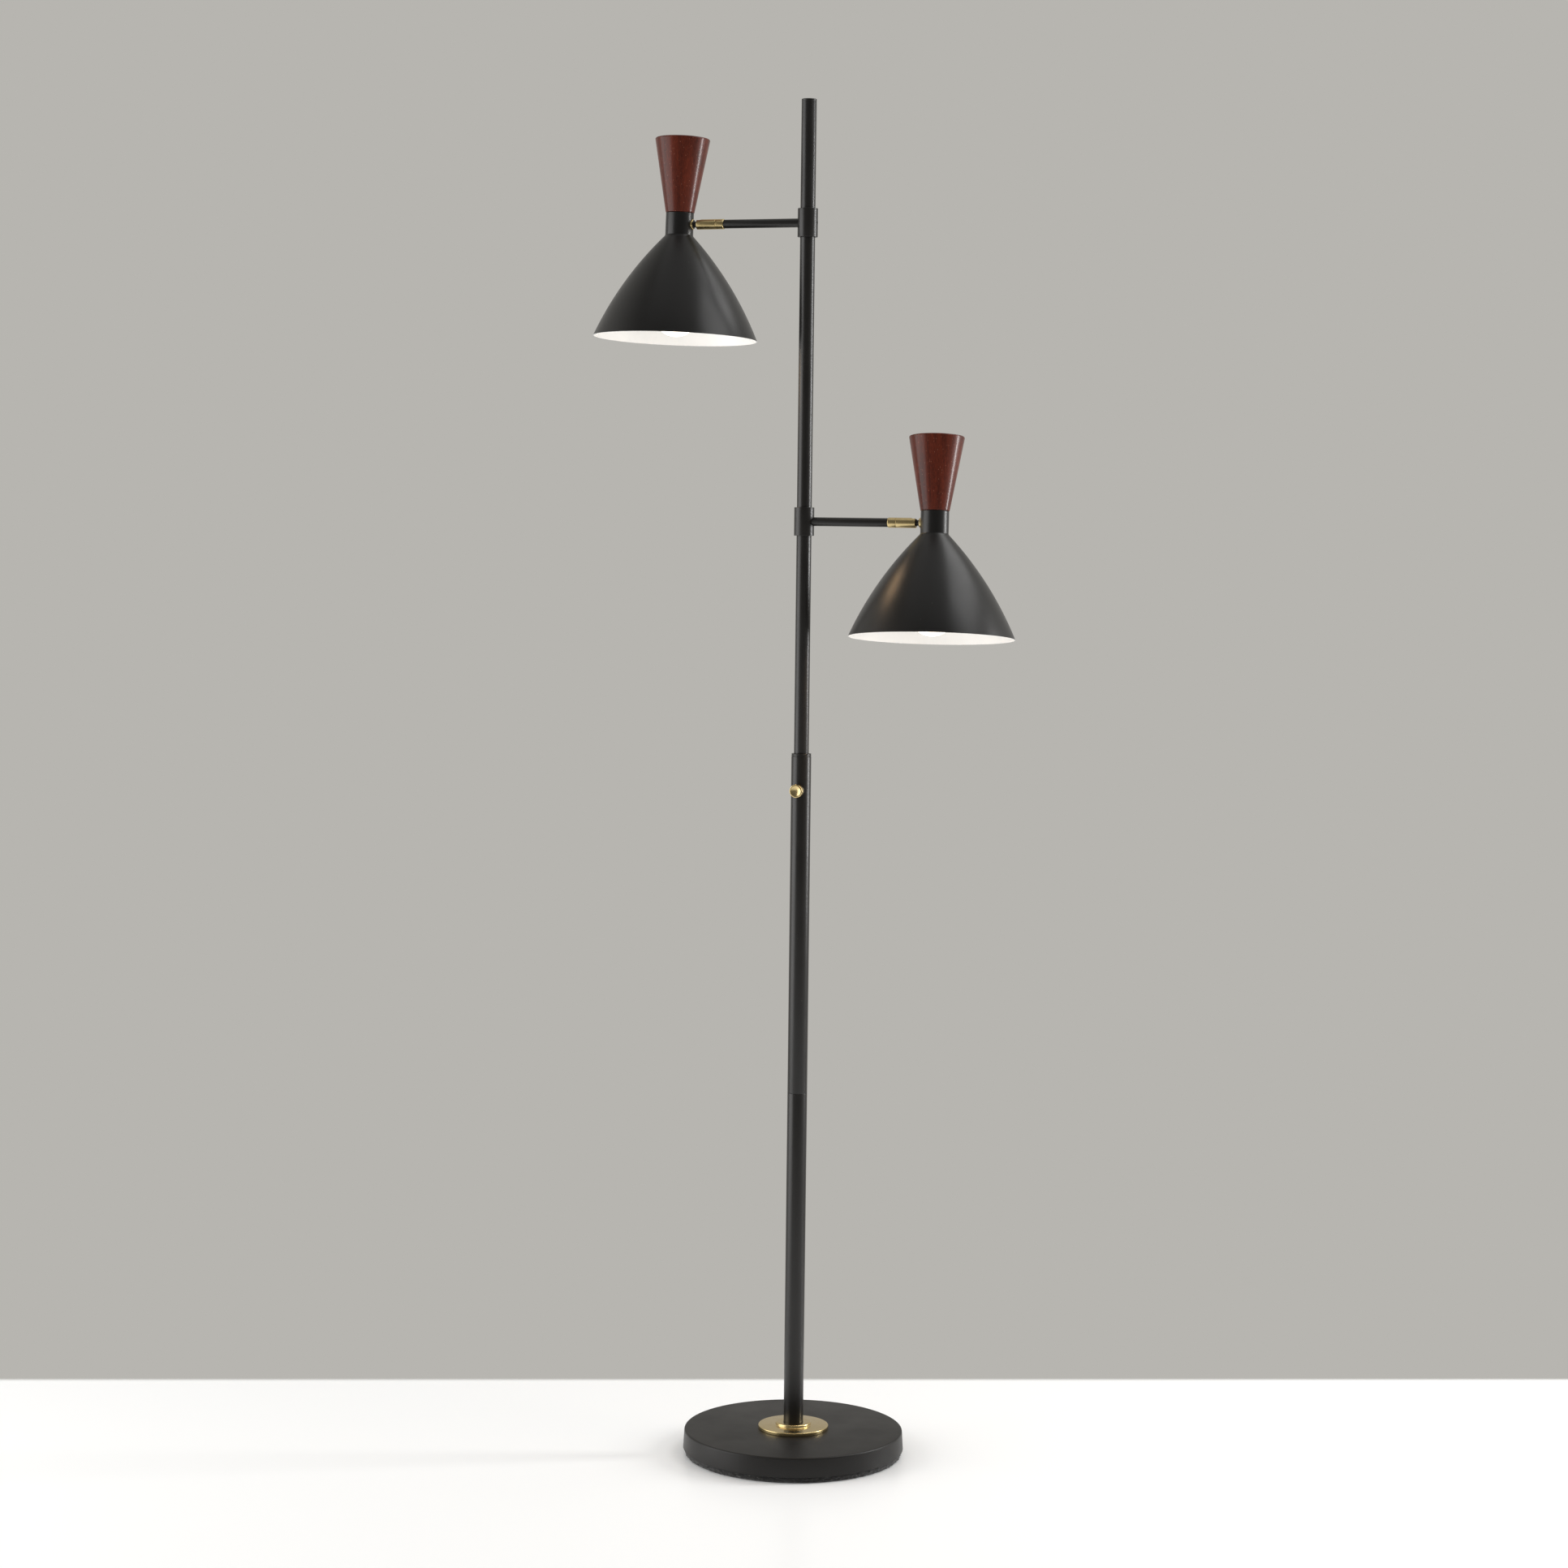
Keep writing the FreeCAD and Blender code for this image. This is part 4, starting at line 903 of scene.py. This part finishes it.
class LAMP_OT_add_shades(bpy.types.Operator):
    """Add the spun shades, black outside and white inside"""

    bl_idname = "lamp.add_shades"
    bl_label = "Add Shades"

    def execute(self, context):
        sizes, colours = context.scene.lamp_sizes, context.scene.lamp_colours
        finishes = [once("satin_shade_paint", powder_coat, colours.shade_paint, 0.32, 0.42),
                    once("white_stoved_enamel", white_enamel, colours.white_enamel)]
        shade = self.shade(sizes)
        for head in HEADS:
            piece = twin(shade, head + "_shade_spun")
            for finish_ in finishes:
                piece.data.materials.append(finish_)
            self.pick_sides(piece, sizes)
            settle(piece, head + "_head", [head + "_shade"], finishes,
                   on_axis(head, sizes))
        bpy.data.objects.remove(shade, do_unlink=True)
        return {"FINISHED"}

    def flank(self, sizes):
        """Centre and radius of the circle that the cone's swelling side follows."""
        top = point(sizes.neck_radius, -sizes.neck_half)
        rim = point(sizes.rim_radius, -sizes.neck_half - sizes.shade_height)
        chord, bulge = rim - top, sizes.flank_bulge
        radius = chord.length_squared / (8 * bulge) + bulge / 2
        inward = point(chord.y, -chord.x).normalized()
        return top + chord / 2 + inward * (radius - bulge), radius

    def side(self, sizes, offset):
        """Outline from the neck's top to the rim, offset inwards from the outer face."""
        centre, radius = self.flank(sizes)
        radius -= offset
        neck = sizes.neck_radius - offset
        cove = sizes.neck_cove + offset
        cove_height = centre.y + math.sqrt((radius + cove) ** 2 - (neck + cove - centre.x) ** 2)
        cove_centre = point(neck + cove, cove_height)
        join = centre + (cove_centre - centre).normalized() * radius
        rim_height = -sizes.neck_half - sizes.shade_height
        rim = point(centre.x + math.sqrt(radius ** 2 - (rim_height - centre.y) ** 2), rim_height)
        start = point(neck, cove_height)
        return [start] + arc(cove_centre, start, join, 8) + arc(centre, join, rim, 48)

    def shade(self, sizes):
        """Closed outline of the sheet: over the top, down outside, round the rim, up."""
        wall = sizes.shade_wall
        top = sizes.neck_half
        outer = self.side(sizes, 0)
        inner = self.side(sizes, wall)
        bend, hole = 0.9 * MM, 5 * MM
        shoulder = point(sizes.neck_radius - bend, top)
        edge = point(sizes.neck_radius, top - bend)
        crown = [point(hole, top), shoulder]
        crown += arc(point(shoulder.x, edge.y), shoulder, edge, ARC_STEPS)
        under = [point(sizes.neck_radius - wall, top - wall), point(hole, top - wall)]
        return turned("shade", crown + outer + inner[::-1] + under, FINEST)

    def pick_sides(self, piece, sizes):
        """Give the inside and the rim's edge the second finish."""
        middle = self.side(sizes, sizes.shade_wall / 2)
        rim = middle[-1].y
        for face in piece.data.polygons:
            outwards = Vector((face.center.x, face.center.y, 0)).normalized()
            faces_in = face.normal.dot(outwards) < -0.02
            under_top = face.normal.z < -0.9 and face.center.z > 0
            on_rim = face.center.z < rim + 0.05 * MM
            face.material_index = int(faces_in or under_top or on_rim)


class LAMP_OT_add_wood_cones(bpy.types.Operator):
    """Add the turned and stained wood cones"""

    bl_idname = "lamp.add_wood_cones"
    bl_label = "Add Wood Cones"

    def execute(self, context):
        sizes, colours = context.scene.lamp_sizes, context.scene.lamp_colours
        wood = once("stained_rubberwood", stained_wood, colours.wood_dark, colours.wood_light)
        foot = sizes.neck_half
        top = foot + sizes.wood_height
        hole, hole_end, drill_tip = 8 * MM, foot + 24 * MM, foot + 27 * MM
        cone = turned("wood_cone", rounded([
            (hole, foot), (sizes.wood_foot_radius, foot, 1.2 * MM),
            (sizes.wood_top_radius, top, 1.8 * MM), (0.0, top), (0.0, drill_tip),
            (hole, hole_end)]), FINE)
        for head in HEADS:
            settle(twin(cone, head + "_wood_cone_stained"), head + "_head",
                   [head + "_wood_cone"], [wood], on_axis(head, sizes))
        bpy.data.objects.remove(cone, do_unlink=True)
        return {"FINISHED"}


class LAMP_OT_add_bulbs(bpy.types.Operator):
    """Add the lamp holders and the lit frosted bulbs"""

    bl_idname = "lamp.add_bulbs"
    bl_label = "Add Bulbs"

    SHOULDER, NECK = 60 * MM, 12.9 * MM     # radii of the glass above its globe
    NECK_TOP = -61 * MM                     # where the glass meets its cap

    def execute(self, context):
        sizes, colours = context.scene.lamp_sizes, context.scene.lamp_colours
        glow = once("frosted_lit_glass", frosted_bulb, colours.lamp_glow, 2.2)
        resin = once("black_phenolic", moulded, linear("#1d1a18"), 0.28, on_bench=True)
        glass = 1 * MM
        bulb = turned("bulb", self.side(sizes, 0) + self.side(sizes, glass)[::-1], FINE)
        holder = self.holder()
        for head in HEADS:
            place = on_axis(head, sizes)
            lit = settle(twin(bulb, head + "_bulb_frosted"), head + "_head",
                         [head + "_bulb_glass"], [glow], place)
            mouth = Matrix.Translation((0, 0, -sizes.bulb_end - BULB_LIGHT_GAP))
            self.add_glow(head, lit, place @ mouth)
            settle(twin(holder, head + "_socket_moulded"), head + "_head",
                   [head + "_socket_body"], [resin], place)
        for spare in (bulb, holder):
            bpy.data.objects.remove(spare, do_unlink=True)
        return {"FINISHED"}

    def side(self, sizes, offset):
        """Outline of the bulb's glass from its neck to its tip."""
        globe, shoulder = sizes.bulb_radius - offset, self.SHOULDER + offset
        neck = self.NECK - offset
        globe_centre = point(0, -sizes.bulb_end + sizes.bulb_radius)
        shoulder_centre = point(neck + shoulder, globe_centre.y + math.sqrt(
            (globe + shoulder) ** 2 - (neck + shoulder) ** 2))
        join = globe_centre + (shoulder_centre - globe_centre).normalized() * globe
        start = point(neck, shoulder_centre.y)
        outline = [point(neck, self.NECK_TOP), start]
        outline += arc(shoulder_centre, start, join, 16)
        return outline + arc(globe_centre, join, point(0, globe_centre.y - globe), 28)

    def add_glow(self, head, bulb, mouth):
        """The warm light that a bulb throws down: it turns with its head."""
        data = bpy.data.lights.new(head + "_bulb_light", "SPOT")
        data.color = BULB_COLOUR
        data.energy = BULB_WATTS
        data.spot_size = BULB_SPREAD
        data.spot_blend = 0.2
        data.shadow_soft_size = BULB_LIGHT_RADIUS
        light = bpy.data.objects.new(data.name, data)
        bpy.context.scene.collection.objects.link(light)
        light.parent = bulb
        light.matrix_world = mouth
        light.visible_camera = False

    def holder(self):
        """Moulded lamp holder with grip rings round its skirt."""
        skirt, root, wall, hole, crown = 14.6, 14.1, 13.5, 5, 10.6
        top, shoulder, floor, foot = -24, -30, -34, -63
        first_ring, pitch = -36, 4.4
        rings = []
        for ring in range(5):
            height = first_ring - pitch * ring
            rings += [(skirt, height, 0.3), (skirt, height - 1.4, 0.3),
                      (root, height - 2.0, 0.2), (root, height - 3.8, 0.2)]
        return turned("socket", rounded(in_millimetres(
            [(hole, top), (crown, top, 1.0), (skirt, shoulder, 2.0)] + rings +
            [(skirt, foot, 0.4), (wall, foot), (wall, floor), (hole, floor)])), COARSE)


class LAMP_OT_finish_inner_parts(bpy.types.Operator):
    """Give the frame's own inner pieces the finishes of their material slots"""

    bl_idname = "lamp.finish_inner_parts"
    bl_label = "Finish Inner Parts"

    def execute(self, context):
        metal = context.scene.lamp_colours.brass
        finishes = {
            "cast_iron": ("sand_cast_iron", plain_metal, "#4a4846", 0.7, 1.6),
            "zinc_steel": ("zinc_plated_steel", plain_metal, "#b9bcc0", 0.34, 0.5),
            "spring_steel": ("spring_steel", plain_metal, "#8f9193", 0.3, 0.4),
            "cap_aluminium": ("drawn_aluminium", plain_metal, "#c3c4c6", 0.3, 0.6),
            "white_nylon": ("natural_nylon", moulded, "#ddd9cf", 0.45),
            "phenolic": ("phenolic_case", moulded, "#1d1a18", 0.35),
        }
        slots = {part["node"]: part["material_slot"] for part in frame["record"]["subparts"]}
        for name, node in frame["nodes"].items():
            if node.hide_render:
                continue
            if slots[name] == "brass":
                finish_ = once("machined_brass", plain_metal, list(metal), 0.3, 0.5)
            else:
                title, make, hex_colour, *rest = finishes[slots[name]]
                finish_ = once(title, make, linear(hex_colour), *rest)
            node.data.materials.clear()
            node.data.materials.append(finish_)
        return {"FINISHED"}


# ---- stage ---------------------------------------------------------------------------
CAMERA_AZIMUTH = math.radians(18)
CAMERA_DISTANCE = 4.3
CAMERA_HEIGHT = 1.2262
CAMERA_AIM = math.radians(18.29)
CAMERA_PITCH = math.radians(4.69)
CAMERA_ROLL = math.radians(0.67)
CAMERA_LENS = 77.31           # millimetres, on a 36 mm wide square frame
FLOOR_RADIUS = 3.2
FLOOR_END = 0.367             # how far the floor goes behind the lamp
FLOOR_FADE = 0.01             # half the width of its soft edge
FLOOR_TURN = math.radians(20.9)
LIGHT_LEVEL = 0.64            # of the even white light from all round
DIM_ROOM = 0.3                # what gloss sees in front and above, against 1 elsewhere
LIGHTS = (                    # name, place, aim, size and watts
    ("left_softbox", (-2.1, -1.1, 1.2), (0, 0, 1.0), (2.2, 2.5), 40),
    ("right_strip", (2.0, 0.9, 1.35), (0, 0, 1.35), (0.3, 1.5), 34),
    ("right_softbox", (1.39, 0.5, 3.05), (0, 0, 1.3), (2.2, 1.1), 20),
    ("overhead", (0.0, -0.3, 3.8), (0, 0, 0), (2.4, 2.4), 6),
)


class LAMP_OT_set_stage(bpy.types.Operator):
    """Add the pale floor, the soft lights, the plain surroundings and the camera"""

    bl_idname = "lamp.set_stage"
    bl_label = "Set Stage"

    def execute(self, context):
        colours = context.scene.lamp_colours
        context.scene.view_settings.view_transform = "Standard"
        self.add_floor(colours)
        self.add_surroundings(context.scene, colours)
        for light in LIGHTS:
            self.add_light(*light)
        self.add_camera(context.scene)
        return {"FINISHED"}

    def add_floor(self, colours):
        """A white floor that ends softly behind the lamp, against the backdrop."""
        select_none()
        bpy.ops.mesh.primitive_circle_add(vertices=96, radius=FLOOR_RADIUS, fill_type="NGON",
                                          location=(0, 0, 0))
        floor = bpy.context.object
        floor.name = "floor"
        material, tree, shader = finish("pale_gloss_floor", base_color=colours.floor,
                                        roughness=0.3)
        spots = add_node(tree, "TexCoord").outputs["Object"]
        behind = (-math.sin(FLOOR_TURN), math.cos(FLOOR_TURN), 0)
        away = add_node(tree, "VectorMath", {0: spots, 1: behind},
                        operation="DOT_PRODUCT").outputs["Value"]
        fade = add_node(tree, "MapRange", {0: away, 1: FLOOR_END - FLOOR_FADE,
                                           2: FLOOR_END + FLOOR_FADE},
                        interpolation_type="SMOOTHSTEP").outputs[0]
        clear = add_node(tree, "BsdfTransparent").outputs[0]
        mix = add_node(tree, "MixShader", {0: fade, 1: shader.outputs[0], 2: clear})
        tree.links.new(mix.outputs[0], tree.nodes["Material Output"].inputs["Surface"])
        floor.data.materials.append(material)

    def add_surroundings(self, scene, colours):
        """Even white light, with the backdrop's colour where the camera, gloss or glass
        looks past the floor. Gloss sees a dimmer room in front and above."""
        world = bpy.data.worlds.new("surroundings")
        scene.world = world
        world.use_nodes = True
        tree = world.node_tree
        tree.nodes.clear()
        rays = add_node(tree, "LightPath").outputs
        seen = add_node(tree, "Math", {0: rays["Is Camera Ray"], 1: rays["Is Glossy Ray"]},
                        operation="MAXIMUM").outputs[0]
        seen = add_node(tree, "Math", {0: seen, 1: rays["Is Transmission Ray"]},
                        operation="MAXIMUM").outputs[0]
        way = add_node(tree, "TexCoord").outputs["Generated"]
        level, up = 0.8, 0.6      # the dimmest direction, 37 degrees up in front
        front = (level * math.sin(CAMERA_AZIMUTH), -level * math.cos(CAMERA_AZIMUTH), up)
        ahead = add_node(tree, "VectorMath", {0: way, 1: front}, operation="DOT_PRODUCT")
        room = add_node(tree, "MapRange", {0: ahead.outputs["Value"], 1: 0.1, 2: 0.75, 3: 1.0,
                                           4: DIM_ROOM},
                        interpolation_type="SMOOTHSTEP").outputs[0]
        room = add_node(tree, "Math", {0: room, 1: rays["Is Camera Ray"]},
                        operation="MAXIMUM").outputs[0]
        light = add_node(tree, "Background", {0: linear("#ffffff"), 1: LIGHT_LEVEL}).outputs[0]
        backdrop = add_node(tree, "Background", {0: colours.backdrop, 1: room}).outputs[0]
        mix = add_node(tree, "MixShader", {0: seen, 1: light, 2: backdrop}).outputs[0]
        add_node(tree, "OutputWorld", {"Surface": mix})

    def add_light(self, name, place, aim, size, watts):
        data = bpy.data.lights.new(name, "AREA")
        data.shape = "RECTANGLE"
        data.size, data.size_y = size
        data.energy = watts
        light = bpy.data.objects.new(name, data)
        bpy.context.scene.collection.objects.link(light)
        light.location = place
        towards = Vector(aim) - Vector(place)
        light.rotation_euler = towards.to_track_quat("-Z", "Y").to_euler()

    def add_camera(self, scene):
        """The photograph's viewpoint: right of the front, a little above the middle."""
        data = bpy.data.cameras.new("camera")
        data.sensor_width = 36
        data.lens = CAMERA_LENS
        data.clip_end = 50
        camera = bpy.data.objects.new("camera", data)
        scene.collection.objects.link(camera)
        level = Vector((math.cos(CAMERA_AIM), math.sin(CAMERA_AIM), 0))
        ahead = Vector((-math.sin(CAMERA_AIM) * math.cos(CAMERA_PITCH),
                        math.cos(CAMERA_AIM) * math.cos(CAMERA_PITCH), -math.sin(CAMERA_PITCH)))
        above = level.cross(ahead)
        right = level * math.cos(CAMERA_ROLL) + above * math.sin(CAMERA_ROLL)
        place = Vector((CAMERA_DISTANCE * math.sin(CAMERA_AZIMUTH),
                        -CAMERA_DISTANCE * math.cos(CAMERA_AZIMUTH), CAMERA_HEIGHT))
        camera.matrix_world = basis(place, right, (-ahead).cross(right))
        scene.camera = camera


OPERATORS = (
    LAMP_OT_add_base, LAMP_OT_add_pole, LAMP_OT_add_switch, LAMP_OT_add_arms,
    LAMP_OT_add_swivels, LAMP_OT_add_stems, LAMP_OT_add_shades, LAMP_OT_add_wood_cones,
    LAMP_OT_add_bulbs, LAMP_OT_finish_inner_parts, LAMP_OT_set_stage,
)


class LAMP_PT_panel(bpy.types.Panel):
    """Lists the lamp's pieces, sizes and colours"""

    bl_idname = "LAMP_PT_panel"
    bl_label = "Floor Lamp"
    bl_space_type = "VIEW_3D"
    bl_region_type = "UI"
    bl_category = "Floor Lamp"

    def draw(self, context):
        for operator in OPERATORS:
            self.layout.operator(operator.bl_idname)
        for title, group in (("Sizes", context.scene.lamp_sizes),
                             ("Colours", context.scene.lamp_colours)):
            box = self.layout.box()
            box.label(text=title)
            for name in type(group).__annotations__:
                box.prop(group, name)


CLASSES = (LampSizes, LampColours) + OPERATORS + (LAMP_PT_panel,)


def register():
    for cls in CLASSES:
        bpy.utils.register_class(cls)
    bpy.types.Scene.lamp_sizes = PointerProperty(type=LampSizes)
    bpy.types.Scene.lamp_colours = PointerProperty(type=LampColours)


def unregister():
    del bpy.types.Scene.lamp_colours
    del bpy.types.Scene.lamp_sizes
    for cls in reversed(CLASSES):
        bpy.utils.unregister_class(cls)


def main():
    register()
    bpy.ops.lamp.add_base()
    bpy.ops.lamp.add_pole()
    bpy.ops.lamp.add_switch()
    bpy.ops.lamp.add_arms()
    bpy.ops.lamp.add_swivels()
    bpy.ops.lamp.add_stems()
    bpy.ops.lamp.add_shades()
    bpy.ops.lamp.add_wood_cones()
    bpy.ops.lamp.add_bulbs()
    bpy.ops.lamp.finish_inner_parts()
    bpy.ops.lamp.set_stage()


if __name__ == "__main__":
    main()
